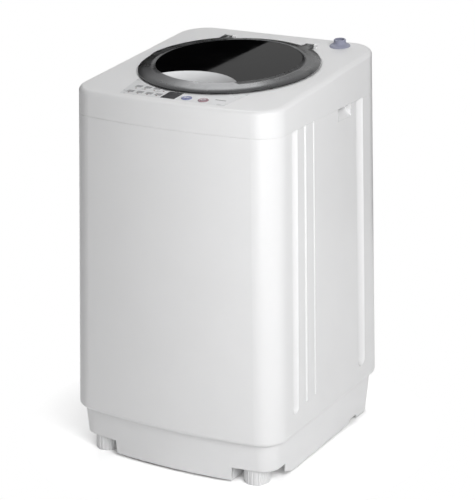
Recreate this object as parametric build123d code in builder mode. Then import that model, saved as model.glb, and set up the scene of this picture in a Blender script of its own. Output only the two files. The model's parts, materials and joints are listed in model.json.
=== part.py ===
from build123d import *
import math
import os

os.makedirs("parts", exist_ok=True)

# Cabinet plan where it is widest, with the origin on the floor under its middle, front towards -Y
width = 457.0
depth = 500.6
front_crown = 21.0
front_corner = 52.0
rear_corner = 60.0
wall = 3.0
draft = 1.2

# Heights of the cabinet's joints
base_bottom = 5.0
deck_bottom = 33.0
deck_thickness = 3.0
shell_bottom = 89.0
seam = 682.5
top_front = 729.5
top_rear = 769.4

# Cabinet shell
shell_curl = 10.0
shell_flange = 8.0
flute_foot = 146.0
flutes = ((-140.0, 26.0, 6.2), (-97.5, 8.3, 3.1), (-63.0, 5.2, 2.3), (131.0, 34.0, 7.2))
flute_spread = 1.062
grip_y = 68.0
grip_width = 55.0
grip_depth = 14.0
grip_ramp = 16.0
grip_slot = 8.0

# Service opening in the rear of the shell
service_width = 250.0
service_height = 260.0
service_z = 265.0
service_rim = 12.0
service_recess = 4.0
service_thickness = 2.0
service_corner = 14.0
service_gap = 0.5
opening_corner = 10.0
louvre_length = 70.0
louvre_spacing = 91.0
louvre_height = 5.0
louvre_pitch = 14.0
louvre_count = 5

# Base
base_inset_top = 11.0
base_inset_bottom = 18.4
base_ledge = 10.0
skirt_foot_gap_x = 13.3
skirt_foot_gap_y = 8.9
skirt_chamfer_run = 26.5
skirt_chamfer_rise = 9.5
rear_notch_inset = 111.3
rear_notch_width = 38.5
rear_notch_height = 8.3
rear_notch_run = 5.0
vent_slot_length = 70.0
vent_slot_width = 6.0
vent_slot_pitch = 14.0
vent_slot_count = 8
rib_thickness = 2.5
rib_pitch = 96.0
rib_end_gap = 15.0
pad_proud = 3.0
pad_sink = 23.0
vent_slot_spacing = 91.0

# Levelling feet
foot_inset_x = 60.7
foot_inset_y = 57.9
foot_radius = 25.0
foot_edge = 2.0
foot_flute_count = 18
foot_flute_radius = 2.2
foot_stem_radius = 6.0
foot_stem_top = 63.0
foot_gap = 0.3
foot_bore_clearance = 0.1
foot_boss_radius = 13.0
foot_boss_height = 18.0

# Top cover
top_skin = 3.0
edge_round = 9.0
seam_reveal = 0.8
drum_y = 6.7
mouth_radius = 148.0
collar_wall = 3.0
collar_bottom = 693.0
lid_recess = 1.6
lid_recess_radius = 177.6

# Lid
lid_radius = 175.0
lid_edge_rise = 7.4
lid_rise = 8.0
lid_underside = 0.9
lid_edge_round = 2.4
lid_edge_chamfer = 1.5
lid_skin = 2.4
window_radius = 140.5
window_thickness = 3.0
window_gap = 0.5
window_ledge = 7.0
ledge_thickness = 2.0
lid_rib_count = 16
grip_arc_radius = 107.5
grip_arc_y = -184.8
scoop_depth = 9.0
scoop_skin = 2.2
bumper_radius = 4.0
bumper_gap = 0.3
magnet_angle = 205.0

lid_inner_chamfer = 1.0
lid_rib_bite = 0.4
window_sink = 0.4
grip_gap = 0.1
bumper_wall_gap = 1.5
magnet_radius = 5.0
magnet_height = 4.0
reed_offset = 5.0
reed_width = 14.0
reed_length = 26.0
reed_height = 9.0
reed_corner = 3.0

# Lid hinge, on the lid's own plane, with a trough that the ring's rear swings into
hinge_v = 162.0
hinge_rise = 4.5
knuckle_radius = 3.6
ear_inner = 82.0
ear_width = 18.5
ear_reach = 36.0
ear_height = 6.0
lug_width = 5.2
trough_gap = 1.2
trough_front = 8.0
trough_half_width = 68.0
hinge_side_gap = 0.3
pin_radius = 1.5
pin_clearance = 0.05

# Control area
overlay_half_front = 110.0
overlay_half_rear = 124.0
overlay_front_inset = 25.9
overlay_rear_y = -120.0
overlay_lid_gap = 2.0
overlay_side_gap = 0.1
overlay_thickness = 0.6
overlay_depth = 0.5
overlay_corner = 4.0
display_x = -10.0
display_setback = 21.5
display_width = 30.0
display_length = 37.0
display_thickness = 2.2
display_lip = 3.0
display_gap = 0.1
display_corner = 1.0
button_setback = 16.5
button_places = (("start_button", 24.0), ("power_button", 59.0))
button_radius = 10.0
button_gap = 0.3
button_rise = 1.8
button_travel = 1.2
button_flange = 1.6
button_flange_thickness = 1.2
button_stem_radius = 3.0
button_dish = 0.5
button_rim = 1.2
button_edge = 1.0
indicator_setbacks = (35.0, 9.0)
indicator_columns = (-96.0, -76.0, -56.0, -36.0)
indicator_radius = 1.6
lens_tail = 2.0

# Control box under the top cover
box_setback = 22.0
box_end_gap = 10.0
box_length = 62.0
box_depth = 26.0
box_wall = 2.0
box_corner = 5.0
box_boss_radius = 4.0
box_boss_inset_x = 15.0
box_boss_inset_y = 8.0
board_drop = 12.0
board_thickness = 1.6
board_gap_x = 6.0
board_gap_y = 4.0
switch_size = 12.0
switch_height = 5.0
display_block_gap = 3.5
display_block_drop = 0.5
lens_socket_wall = 0.9
lens_socket_drop = 2.5
relay_places = ((-84.0, 8.0), (-58.0, 8.0), (92.0, 6.0))
relay_size = (20.0, 16.0)
chip_places = ((-20.0, -14.0), (40.0, -14.0))
chip_size = (34.0, 10.0)
board_part_height = 9.0

# Water inlet
inlet_inset_x = 74.0
inlet_inset_y = 37.9
inlet_flange_radius = 20.5
inlet_neck_radius = 12.0
inlet_height = 14.0
inlet_flange_height = 4.0
inlet_bore = 9.0
inlet_bore_depth = 11.0
inlet_tail_radius = 11.0
inlet_tail = 14.0
inlet_tail_wall = 3.0
inlet_web = 2.0
inlet_edge = 1.0
inlet_foot = 2.0
inlet_brim = 1.2
inlet_hole_radius = 1.5
inlet_hole_pitch = 4.4
strainer_rim = 1.5
strainer_bar = 1.2
strainer_height = 3.0
solenoid_radius = 15.0
solenoid_height = 24.0
coil_reach = 27.0
coil_length = 28.0
coil_width = 24.0
coil_corner = 3.0
coil_drop = 4.0
coil_height = 22.0
port_radius = 9.0
port_length = 6.0
port_sleeve = 12.0
port_bore = 6.0
port_bore_depth = 10.0

# Outer tub and its cover
tub_radius = 171.0
tub_wall = 3.0
tub_bottom = 200.0
tub_top = 662.0
tub_rim = 7.0
tub_rim_height = 6.0
tub_round = 14.0
tub_rib_depth = 9.0
tub_rib_count = 8
tub_hub_radius = 26.0
tub_hub_bore = 22.0
tub_hub_rise = 6.0
tub_rib_inner = 45.0
tub_rib_outer = 155.0
tub_cover_height = 12.0
tub_cover_inner = 146.0
tub_cover_wall = 3.0
tub_cover_edge = 5.0
tub_cover_shoulder = 8.0
tub_cover_fall = 1.0
tub_cover_lip = 6.0

# Suspension
rod_inset_x = 70.5
rod_inset_y = 88.3
rod_radius = 4.0
rod_clearance = 0.1
rod_bottom = 150.0
bracket_z = 662.0
bracket_thickness = 3.0
bracket_bore = 192.0
bracket_size = 130.0
bracket_hole_gap = 1.0
lug_bottom = 262.0
lug_thickness = 12.0
lug_half_width = 20.0
lug_hole_gap = 2.0
gusset_height = 42.0
gusset_bite = 1.0
gusset_end_gap = 6.0
gusset_half = 2.0
cup_radius = 15.0
cup_height = 15.0
cup_web = 6.0
ball_radius = 7.0
seat_radius = 12.0
seat_height = 6.0
seat_hole_gap = 0.6
nut_radius = 8.0
nut_height = 8.0
washer_radius = 14.0
washer_thickness = 2.0
spring_radius = 10.0
spring_wire = 1.5
spring_turns = 6
spring_gap = 0.5

# Basket
basket_radius = 152.0
basket_wall = 1.2
basket_bottom = 236.0
basket_top = 626.0
basket_hole_radius = 4.0
basket_hole_columns = 12
basket_hole_rows = 6
basket_hole_margin = 20.0
balance_inner = 134.0
balance_outer = 156.0
balance_top = 650.0
balance_lap = 14.0
balance_lip = 4.0
balance_gap = 0.2
balance_edge = 6.0
basket_hub_bottom = 209.0
basket_hub_radius = 24.0
basket_floor = 220.0
basket_floor_wall = 4.0
well_radius = 121.5
well_depth = 12.0
floor_flare = 2.0
floor_drop = 5.0
floor_spigot_height = 14.0
floor_spigot_wall = 3.0
floor_step = 1.0
floor_hole_circle = 90.0
floor_hole_radius = 5.0
floor_hole_count = 8
bead_depth = 2.0
bead_half = 6.0
bead_heights = (300.0, 562.0)
filter_width = 80.0
filter_bottom = 400.0
filter_height = 150.0
filter_depth = 12.0
filter_skin = 2.0
filter_rim = 4.0
mesh_pitch_x = 16.0
mesh_pitch_z = 22.0
mesh_bar = 5.0
mesh_columns = 4
mesh_rows = 6

# Pulsator
pulsator_radius = 119.0
pulsator_gap = 3.0
pulsator_edge = 6.0
pulsator_skin = 4.0
dish_rise = 8.0
cone_radius = 38.0
cone_rise = 28.0
cone_foot = 4.0
cone_waist = 10.0
cone_waist_share = 0.6
cone_crown = 6.0
rim_round = 2.0
hub_wall = 7.5
hub_web = 3.0
hub_screw_radius = 6.0
hub_screw_height = 4.0
hub_screw_length = 16.0
hub_screw_well = 7.0
hub_screw_shank = 3.0
cross_length = 8.0
cross_width = 1.6
vane_count = 4
vane_height = 20.0
vane_width = 18.0
vane_sweep = 26.0
vane_sink = 2.0
vane_bite = 6.0
vane_end_gap = 10.0
vane_shape = ((0.0, 0.0, 1.0), (0.5, 0.45, 0.85), (1.0, 1.0, 0.35))

# Drive line under the tub
shaft_radius = 8.5
shaft_bottom = 70.0
shaft_drop = 14.0
shaft_chamfer = 1.0
shaft_thread_depth = 20.0
spin_tube_bottom = 150.0
bearing_radius = 16.0
bearing_height = 12.0
spin_tube_inner = 8.55
spin_tube_outer = 12.5
case_bore_clearance = 0.05
case_radius = 42.0
case_flange_radius = 52.0
case_bottom = 110.0
case_foot = 14.0
case_shoulder = 6.0
case_step = 8.0
case_slope = 20.0
case_flange_thickness = 5.0
case_rib_start = 24.0
case_rib_length = 10.0
case_rib_thickness = 4.0
case_rib_count = 6
plate_thickness = 3.0
plate_margin = 8.0
plate_motor_margin = 6.0
plate_slot_length = 30.0
plate_slot_width = 8.0
pulley_bottom = 78.0
pulley_width = 16.0
drive_pulley_radius = 62.0
motor_pulley_radius = 22.0
groove_depth = 6.0
pulley_hub_radius = 18.0
motor_pulley_hub = 10.0
pulley_hub_proud = 2.0
pulley_web_inset = 4.0
pulley_rim_wall = 3.0
pulley_hole_circle = 35.0
pulley_hole_radius = 10.0
pulley_hole_count = 6
belt_height = 9.0
belt_thickness = 5.0
belt_gap = 0.2
motor_x = -100.0
motor_y = 66.7
motor_radius = 52.0
motor_bottom = 102.0
motor_nose_radius = 14.0
motor_nose_height = 6.0
motor_shoulder = 14.0
motor_waist = 6.0
motor_band_bottom = 26.0
motor_band_top = 60.0
motor_flange = 3.0
motor_vent = (10.0, 12.0, 8.0)
motor_vent_rise = 16.0
motor_vent_count = 8
motor_shaft_radius = 6.0
motor_shaft_reach = 28.0
motor_bore_reach = 30.0

# Drain, low at the rear
valve_x = 75.0
valve_y = 75.0
valve_radius = 20.0
valve_height = 42.0
valve_bore = 12.0
valve_spout_wall = 3.0
drain_z = 175.0
drain_reach = 35.0
hose_bend = 22.0
hose_radius = 12.0
hose_bore = 10.0
hose_run = 52.0
hose_end_run = 48.0
spigot_x = 125.0
spigot_z = 60.0
spigot_radius = 13.0
spigot_bore = 10.5
spigot_reach = 11.0
spigot_depth = 25.5
spigot_collar = 4.0
spigot_collar_thickness = 2.0
actuator_y = -40.0
actuator_size = 40.0
actuator_height = 30.0
pull_rod_radius = 2.5
pull_rod_travel = 10.0
pull_rod_gap = 0.1
pull_rod_sink = 8.0
pull_collar_gap = 4.0
pull_collar = 3.0
actuator_corner = 4.0
actuator_end_gap = 2.0
gland_x = -125.0
gland_radius = 10.0
gland_bore = 4.0
gland_collar = 4.0
gland_collar_thickness = 3.0
gland_nose = 5.0
gland_nose_drop = 2.0
gland_depth = 16.0
pad_radius = 20.0

# Small fittings inside the cabinet
capacitor_x = -150.0
capacitor_y = -60.0
capacitor_radius = 20.0
capacitor_length = 70.0
sensor_z = 582.0
sensor_size = 36.0
sensor_depth = 20.0
sensor_bite = 1.0
sensor_corner = 4.0
sensor_dome_inset = 2.0
air_hose_radius = 3.0
air_hose_bore = 2.0
air_hose_gap = 1.0
air_chamber_height = 24.0
air_chamber_depth = 10.0
air_chamber_width = 20.0
spout_z = 700.5
spout_height = 14.0
spout_wall = 1.5

# Screws
screw_radius = 1.9
screw_head_radius = 4.0
screw_head_height = 1.8
screw_head_gap = 1.0
screw_sink = 2.0
screw_length = 10.0
cover_screw_pitch = 150.0
cover_screw_rise = 12.0
base_screw_pitch = 90.0
base_screw_gap = 2.0

back = depth / 2
front = -depth / 2
half_width = width / 2
lean = math.radians(draft)
top_reach = back - (top_front - shell_bottom) * math.tan(lean)
top_half_width = half_width - (top_front - shell_bottom) * math.tan(lean)
slope = math.atan((top_rear - top_front) / (2 * top_reach))
foot_x = half_width - foot_inset_x
foot_y = back - foot_inset_y
skirt_end_x = foot_x - foot_radius - skirt_foot_gap_x
skirt_end_y = foot_radius + skirt_foot_gap_y - foot_y
rear_notch_y = back - rear_notch_inset
rod_x = half_width - rod_inset_x
rod_reach = back - rod_inset_y
inlet_x = top_half_width - inlet_inset_x
inlet_y = top_reach - inlet_inset_y
overlay_front_y = overlay_front_inset - top_reach
display_y = overlay_front_y + display_setback
button_y = overlay_front_y + button_setback
indicator_rows = [overlay_front_y + setback for setback in indicator_setbacks]
box_y = overlay_front_y + box_setback
box_width = 2 * (overlay_half_front + box_end_gap)
trough_radius = lid_radius - hinge_v + trough_gap
bumper_angle = 1.5 * 360 / lid_rib_count
normal = Vector(0, -math.sin(slope), math.cos(slope))
rear_normal = Vector(0, math.cos(lean), math.sin(lean))
spout_angle = math.atan2(inlet_y - drum_y, inlet_x)
spout_reach = mouth_radius + collar_wall
corner_signs = ((-1, -1, "front_left"), (1, -1, "front_right"), (-1, 1, "rear_left"), (1, 1, "rear_right"))
saved = []

# Screw places: up the rear wall (x, height above the shell's foot), and on the base's ledge (x, y)
service_v = service_z - shell_bottom
service_screw_places = [
    (sx * (service_width - service_rim) / 2, service_v + sz * (service_height / 2 - service_rim * 2))
    for sx in (-1, 1)
    for sz in (-1, 0, 1)
]
cover_screw_v = (seam - shell_bottom) / math.cos(lean) + cover_screw_rise
cover_screw_places = [(sx * cover_screw_pitch, cover_screw_v) for sx in (-1, 0, 1)]
ledge_x = half_width - base_inset_top - base_ledge / 2 - base_screw_gap
base_screw_places = [(sx * ledge_x, sy * base_screw_pitch) for sx in (-1, 1) for sy in (-1, 0, 1)]


def keep(part, name):
    """Label a finished piece and write its file."""
    part.label = name
    export_step(part, f"parts/{name}.step")
    saved.append(name)


def draft_run(height):
    """How far the walls lean in at a height, by the mould's draft above the shell's foot."""
    return max(0.0, height - shell_bottom) * math.tan(lean)


def plan(height, inset=0.0):
    """Outline of the cabinet at a height, drawn in by an inset."""
    gap = inset + draft_run(height)
    half = half_width - gap
    shoulder = front + gap + front_crown
    with BuildSketch(Plane.XY.offset(height)) as outline:
        with BuildLine():
            Polyline((half, shoulder), (half, back - gap), (-half, back - gap), (-half, shoulder))
            ThreePointArc((-half, shoulder), (0, front + gap), (half, shoulder))
        make_face()
        fillet(outline.vertices().group_by(Axis.Y)[0], front_corner - inset)
        fillet(outline.vertices().group_by(Axis.Y)[-1], rear_corner - inset)
    return outline.sketch


def top_height(y):
    """Height of the sloping top over a place in the plan."""
    return top_front + (y + top_reach) * math.tan(slope)


def top_plane(x=0.0, y=drum_y, rise=0.0):
    """Plane on the sloping top, or a rise above it."""
    origin = Vector(x, y, top_height(y)) + normal * rise
    return Plane(origin=origin, x_dir=(1, 0, 0), z_dir=normal)


def top_section(x=0.0, y=drum_y):
    """Upright plane across the top, square to its slope, with the height as its second axis."""
    across = Vector(0, -math.cos(slope), -math.sin(slope))
    return Plane(origin=(x, y, top_height(y)), x_dir=(1, 0, 0), z_dir=across)


def side_section(x):
    """Plane facing +X at the lid's centre line, with the slope as first axis and height as second."""
    along = Vector(0, math.cos(slope), math.sin(slope))
    return Plane(origin=(x, drum_y, top_height(drum_y)), x_dir=along, z_dir=(1, 0, 0))


def top_axis(x=0.0, y=drum_y):
    """Axis square to the sloping top."""
    return Axis((x, y, top_height(y)), normal)


def upright(x, y):
    """Upright section plane through a vertical axis."""
    return Plane(origin=(x, y, 0), x_dir=(1, 0, 0), z_dir=(0, -1, 0))


def rear_plane(inset=0.0):
    """Plane on the leaning rear wall, from the shell's foot up, facing into the cabinet."""
    foot = Vector(0, back, shell_bottom)
    return Plane(origin=foot - rear_normal * inset, x_dir=(1, 0, 0), z_dir=-rear_normal)


def flute_tool(side, flute_place, flute_width, flute_depth, extra=0.0):
    """Solid that cuts a flute: a rod along the leaning wall, round at its foot, with extra all round."""
    radius = flute_radius(flute_width, flute_depth)
    reach = radius - flute_depth
    foot_x = half_width - draft_run(flute_foot) + reach
    head_x = half_width - draft_run(seam) + reach
    foot = Vector(side * foot_x, flute_place * flute_spread, flute_foot)
    head = Vector(side * head_x, flute_place, seam)
    rod = Plane(origin=foot, z_dir=head - foot)
    with BuildPart(rod, mode=Mode.PRIVATE) as tool:
        rod_length = (head - foot).length + radius
        Cylinder(radius + extra, rod_length, align=(Align.CENTER, Align.CENTER, Align.MIN))
        Sphere(radius + extra)
    return tool.part


def flute_radius(flute_width, flute_depth):
    """Radius of the round tool that leaves a flute of this width and depth."""
    return (flute_width ** 2 / 4 + flute_depth ** 2) / (2 * flute_depth)


def base_inset(height):
    """How far the base's wall stands in from the cabinet plan at a height."""
    share = (height - base_bottom) / (shell_bottom - base_bottom)
    return base_inset_bottom + (base_inset_top - base_inset_bottom) * share


def grip_profile(side, extra=0.0):
    """Section of a side grip pocket: a ramp below an upright slot, with extra all round."""
    grip_face = half_width - draft_run(seam)
    bottom = seam - grip_slot - grip_ramp - extra
    face = side * half_width
    deep = side * (grip_face - grip_depth - extra)
    with BuildSketch(Plane.XZ.offset(-grip_y - grip_width / 2 - extra)) as pocket:
        with BuildLine():
            Polyline(
                (face, bottom),
                (side * grip_face, bottom),
                (deep, seam - grip_slot - extra / 2),
                (deep, seam),
                (face, seam),
                close=True,
            )
        make_face()
    return pocket.sketch


def hinge_trough(extra=0.0):
    """Section of the trough round the hinge's axis, with extra all round."""
    front_v = hinge_v - trough_front - extra
    radius = trough_radius + extra
    with BuildSketch(side_section(-trough_half_width - extra)) as trough:
        with Locations((hinge_v, hinge_rise)):
            Circle(radius)
        with Locations((front_v + radius, hinge_rise)):
            Rectangle(2 * radius, 2 * radius, mode=Mode.INTERSECT)
    return trough.sketch


# Cabinet shell: the room inside it first, so that flutes and pockets keep their own wall
with BuildPart() as shell_cavity:
    loft([plan(shell_bottom + wall, wall), plan(seam, wall)])
    fillet(shell_cavity.faces().sort_by(Axis.Z)[0].edges(), shell_curl - wall)
    for side in (-1, 1):
        for flute in flutes:
            add(flute_tool(side, *flute, extra=wall), mode=Mode.SUBTRACT)
        extrude(grip_profile(side, wall), amount=grip_width + 2 * wall, mode=Mode.SUBTRACT)
    with BuildSketch(rear_plane()):
        with Locations((0, service_v)):
            RectangleRounded(service_width + 2 * wall, service_height + 2 * wall, service_corner + wall)
    extrude(amount=service_recess + wall, mode=Mode.SUBTRACT)

with BuildPart() as cabinet_shell:
    reveal_bottom = seam - seam_reveal
    loft([plan(shell_bottom), plan(reveal_bottom)])
    loft([plan(reveal_bottom), plan(seam, seam_reveal)])
    fillet(cabinet_shell.faces().sort_by(Axis.Z)[0].edges(), shell_curl)
    for side in (-1, 1):
        for flute in flutes:
            add(flute_tool(side, *flute), mode=Mode.SUBTRACT)
        extrude(grip_profile(side), amount=grip_width, mode=Mode.SUBTRACT)
    add(shell_cavity.part, mode=Mode.SUBTRACT)
    extrude(plan(shell_bottom, shell_curl + shell_flange), amount=wall, mode=Mode.SUBTRACT)
    with BuildSketch(rear_plane()):
        with Locations((0, service_v)):
            RectangleRounded(service_width, service_height, service_corner)
    extrude(amount=service_recess, mode=Mode.SUBTRACT)
    with BuildSketch(rear_plane()):
        with Locations((0, service_v)):
            opening_width = service_width - 2 * service_rim
            opening_height = service_height - 2 * service_rim
            RectangleRounded(opening_width, opening_height, opening_corner)
        with Locations(*service_screw_places):
            Circle(screw_radius)
    extrude(amount=service_recess + 2 * wall, mode=Mode.SUBTRACT)
    with BuildSketch(Plane.XY.offset(shell_bottom)):
        with Locations(*base_screw_places):
            Circle(screw_radius)
    extrude(amount=wall, mode=Mode.SUBTRACT)
keep(cabinet_shell.part, "cabinet_shell")

# Rear service cover with louvres, sunk in the shell's recess
cover_sink = service_recess - service_thickness
with BuildPart() as service_cover:
    with BuildSketch(rear_plane(cover_sink)):
        with Locations((0, service_v)):
            edge = 2 * service_gap
            RectangleRounded(service_width - edge, service_height - edge, service_corner - service_gap)
    extrude(amount=service_thickness)
    with BuildSketch(rear_plane(cover_sink)):
        with Locations((0, service_v)):
            with GridLocations(louvre_spacing, louvre_pitch, 2, louvre_count):
                SlotOverall(louvre_length, louvre_height)
        with Locations(*service_screw_places):
            Circle(screw_radius)
    extrude(amount=service_thickness, mode=Mode.SUBTRACT)
keep(service_cover.part, "service_cover")

# Base: a tray on a deck, with a skirt that is cut away round the front feet
deck_top = deck_bottom + deck_thickness
foot_places = [(sx * foot_x, sy * foot_y) for sx, sy, corner in corner_signs]
with BuildPart() as base:
    loft([plan(base_bottom, base_inset(base_bottom)), plan(shell_bottom, base_inset(shell_bottom))])
    ledge_bottom = shell_bottom - wall
    loft(
        [
            plan(deck_top, base_inset(deck_top) + wall),
            plan(ledge_bottom, base_inset(ledge_bottom) + wall),
        ],
        mode=Mode.SUBTRACT,
    )
    extrude(plan(ledge_bottom, base_inset_top + base_ledge), amount=wall, mode=Mode.SUBTRACT)
    loft(
        [
            plan(base_bottom, base_inset(base_bottom) + wall),
            plan(deck_bottom, base_inset(deck_bottom) + wall),
        ],
        mode=Mode.SUBTRACT,
    )
    skirt_height = deck_bottom - base_bottom
    with BuildSketch(Plane.XY.offset(base_bottom)):
        with GridLocations(0, rib_pitch, 1, 3):
            Rectangle(2 * skirt_end_x, rib_thickness)
        with GridLocations(2 * skirt_end_x - rib_thickness, 0, 2, 1):
            Rectangle(rib_thickness, 2 * (back - base_inset_bottom - rib_end_gap))
    extrude(amount=skirt_height)
    for side in (-1, 1):
        with BuildSketch(Plane.XY.offset(base_bottom)):
            with Locations((side * (skirt_end_x + half_width) / 2, (skirt_end_y + front) / 2)):
                Rectangle(half_width - skirt_end_x, skirt_end_y - front)
        extrude(amount=skirt_height, mode=Mode.SUBTRACT)
        with BuildSketch(Plane.YZ.offset(side * half_width)):
            with BuildLine():
                Polyline(
                    (skirt_end_y, base_bottom),
                    (skirt_end_y + skirt_chamfer_run, base_bottom),
                    (skirt_end_y, base_bottom + skirt_chamfer_rise),
                    close=True,
                )
            make_face()
            with BuildLine():
                notch_half = rear_notch_width / 2
                Polyline(
                    (rear_notch_y - notch_half, base_bottom),
                    (rear_notch_y - notch_half + rear_notch_run, base_bottom + rear_notch_height),
                    (rear_notch_y + notch_half - rear_notch_run, base_bottom + rear_notch_height),
                    (rear_notch_y + notch_half, base_bottom),
                    close=True,
                )
            make_face()
        extrude(amount=-side * 2 * base_inset_bottom, mode=Mode.SUBTRACT)
    with BuildSketch(Plane.XY.offset(deck_top)):
        with Locations(*foot_places):
            Circle(foot_boss_radius)
    extrude(amount=foot_boss_height)
    with BuildSketch(Plane.XY.offset(deck_bottom)):
        with Locations(*foot_places):
            Circle(foot_stem_radius + foot_bore_clearance)
        with GridLocations(vent_slot_spacing, vent_slot_pitch, 2, vent_slot_count):
            SlotOverall(vent_slot_length, vent_slot_width)
    extrude(amount=deck_thickness + foot_boss_height, mode=Mode.SUBTRACT)
    pad_face = back - base_inset(spigot_z + pad_radius)
    with BuildSketch(Plane.XZ.offset(-pad_face)):
        with Locations((spigot_x, spigot_z), (gland_x, spigot_z)):
            Circle(pad_radius)
    extrude(amount=wall + pad_proud)
    with BuildSketch(Plane.XZ.offset(-pad_face)):
        with Locations((spigot_x, spigot_z)):
            Circle(spigot_radius)
        with Locations((gland_x, spigot_z)):
            Circle(gland_radius)
    extrude(amount=pad_sink, mode=Mode.SUBTRACT)
    with BuildSketch(Plane.XY.offset(ledge_bottom)):
        with Locations(*base_screw_places):
            Circle(screw_radius)
    extrude(amount=wall, mode=Mode.SUBTRACT)
keep(base.part, "base")

# Levelling feet with fluted rims and threaded stems
for side_x, side_y, corner in corner_signs:
    place = (side_x * foot_x, side_y * foot_y)
    with BuildPart() as foot:
        with BuildSketch(upright(*place)):
            with BuildLine():
                foot_top = deck_bottom - foot_gap
                Polyline(
                    (0, 0),
                    (foot_radius - foot_edge, 0),
                    (foot_radius, foot_edge),
                    (foot_radius, foot_top),
                    (foot_stem_radius, foot_top),
                    (foot_stem_radius, foot_stem_top),
                    (0, foot_stem_top),
                    close=True,
                )
            make_face()
        revolve(axis=Axis((place[0], place[1], 0), (0, 0, 1)))
        with Locations((place[0], place[1], foot_top / 2)):
            with PolarLocations(foot_radius + foot_flute_radius / 2, foot_flute_count):
                Cylinder(foot_flute_radius, foot_top, mode=Mode.SUBTRACT)
    keep(foot.part, f"foot_{corner}")

# Top cover: the room under its skin first
with BuildPart() as cover_cavity:
    loft([plan(seam, wall), plan(top_rear, wall)])
    split(bisect_by=top_plane(rise=-top_skin), keep=Keep.BOTTOM)
    with BuildSketch(Plane.XY.offset(collar_bottom)):
        with Locations((0, drum_y)):
            Circle(mouth_radius + collar_wall)
    extrude(amount=top_rear - collar_bottom, mode=Mode.SUBTRACT)
    with BuildSketch(top_plane(rise=-top_skin - lid_recess)):
        Circle(lid_recess_radius + top_skin)
    extrude(amount=top_skin + lid_recess, mode=Mode.SUBTRACT)
    extrude(hinge_trough(top_skin), amount=2 * (trough_half_width + top_skin), mode=Mode.SUBTRACT)


def overlay_outline(rise, shrink=0.0):
    """Outline of the control panel's film, ending along the lid's recess."""
    plane = top_plane(rise=rise)
    front_v = (overlay_front_y - drum_y) / math.cos(slope) + shrink
    rear_v = (overlay_rear_y - drum_y) / math.cos(slope)
    with BuildSketch(plane) as outline:
        with BuildLine():
            Polyline(
                (-overlay_half_front + shrink, front_v),
                (overlay_half_front - shrink, front_v),
                (overlay_half_rear - shrink, rear_v),
                (-overlay_half_rear + shrink, rear_v),
                close=True,
            )
        make_face()
        fillet(outline.vertices().group_by(Axis.Y)[0], overlay_corner)
        Circle(lid_recess_radius + overlay_lid_gap + shrink, mode=Mode.SUBTRACT)
    return outline.sketch


def on_top(x, y):
    """Place of a point of the top in the lid plane's own two axes."""
    return (x, (y - drum_y) / math.cos(slope))


button_marks = [on_top(x, button_y) for name, x in button_places]
display_mark = on_top(display_x, display_y)
indicator_marks = [on_top(x, y) for y in indicator_rows for x in indicator_columns]

spout_mark = (spout_reach * math.cos(spout_angle), drum_y + spout_reach * math.sin(spout_angle))
with BuildPart() as top_cover:
    loft([plan(seam), plan(top_rear)])
    split(bisect_by=top_plane(), keep=Keep.BOTTOM)
    fillet(top_cover.faces().sort_by(Axis.Z)[-1].edges(), edge_round)
    add(cover_cavity.part, mode=Mode.SUBTRACT)
    with BuildSketch(Plane.XY.offset(seam)):
        with Locations((0, drum_y)):
            Circle(mouth_radius)
    extrude(amount=top_rear - seam, mode=Mode.SUBTRACT)
    with BuildSketch(Plane.XY.offset(spout_z + spout_wall)):
        with Locations(spout_mark):
            Circle(spout_height - spout_wall)
    extrude(amount=spout_height - 2 * spout_wall, mode=Mode.SUBTRACT)
    with BuildSketch(top_plane()):
        Circle(lid_recess_radius)
    extrude(amount=-lid_recess, mode=Mode.SUBTRACT)
    extrude(hinge_trough(), amount=2 * trough_half_width, mode=Mode.SUBTRACT)
    extrude(overlay_outline(0.0), amount=-overlay_depth, mode=Mode.SUBTRACT)
    with BuildSketch(top_plane()):
        with Locations(display_mark):
            Rectangle(display_width, display_length)
    extrude(amount=-display_thickness, mode=Mode.SUBTRACT)
    with BuildSketch(top_plane()):
        with Locations(display_mark):
            Rectangle(display_width - 2 * display_lip, display_length - 2 * display_lip)
        with Locations(*button_marks):
            Circle(button_radius + button_gap)
        with Locations(*indicator_marks):
            Circle(indicator_radius)
        with Locations(on_top(inlet_x, inlet_y)):
            Circle(inlet_tail_radius)
    extrude(amount=-top_skin, mode=Mode.SUBTRACT)
    for side in (-1, 1):
        lug_outer = ear_inner + ear_width + hinge_side_gap + lug_width
        for lug_start in (ear_inner - hinge_side_gap - lug_width, lug_outer - lug_width):
            lug_x = side * lug_start if side > 0 else -lug_start - lug_width
            with BuildSketch(side_section(lug_x)):
                with Locations((hinge_v, hinge_rise)):
                    Circle(knuckle_radius)
                with Locations((hinge_v, (hinge_rise - lid_recess) / 2)):
                    Rectangle(2 * knuckle_radius, hinge_rise + lid_recess)
            extrude(amount=lug_width)
            with BuildSketch(side_section(lug_x)):
                with Locations((hinge_v, hinge_rise)):
                    Circle(pin_radius)
            extrude(amount=lug_width, mode=Mode.SUBTRACT)
    with BuildSketch(rear_plane()):
        with Locations(*cover_screw_places):
            Circle(screw_head_radius + screw_head_gap)
    extrude(amount=screw_sink, mode=Mode.SUBTRACT)
    with BuildSketch(rear_plane()):
        with Locations(*cover_screw_places):
            Circle(screw_radius)
    extrude(amount=wall, mode=Mode.SUBTRACT)
keep(top_cover.part, "top_cover")

screw_rows = (
    (rear_plane(cover_sink), -1, service_screw_places),
    (rear_plane(screw_sink), -1, cover_screw_places),
    (Plane.XY.offset(shell_bottom + wall), 1, base_screw_places),
)
with BuildPart() as case_screws:
    for seat, outward, places in screw_rows:
        with BuildSketch(seat):
            with Locations(*places):
                Circle(screw_head_radius)
        extrude(amount=outward * screw_head_height)
        with BuildSketch(seat):
            with Locations(*places):
                Circle(screw_radius)
        extrude(amount=-outward * screw_length)
keep(case_screws.part, "case_screws")

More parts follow.
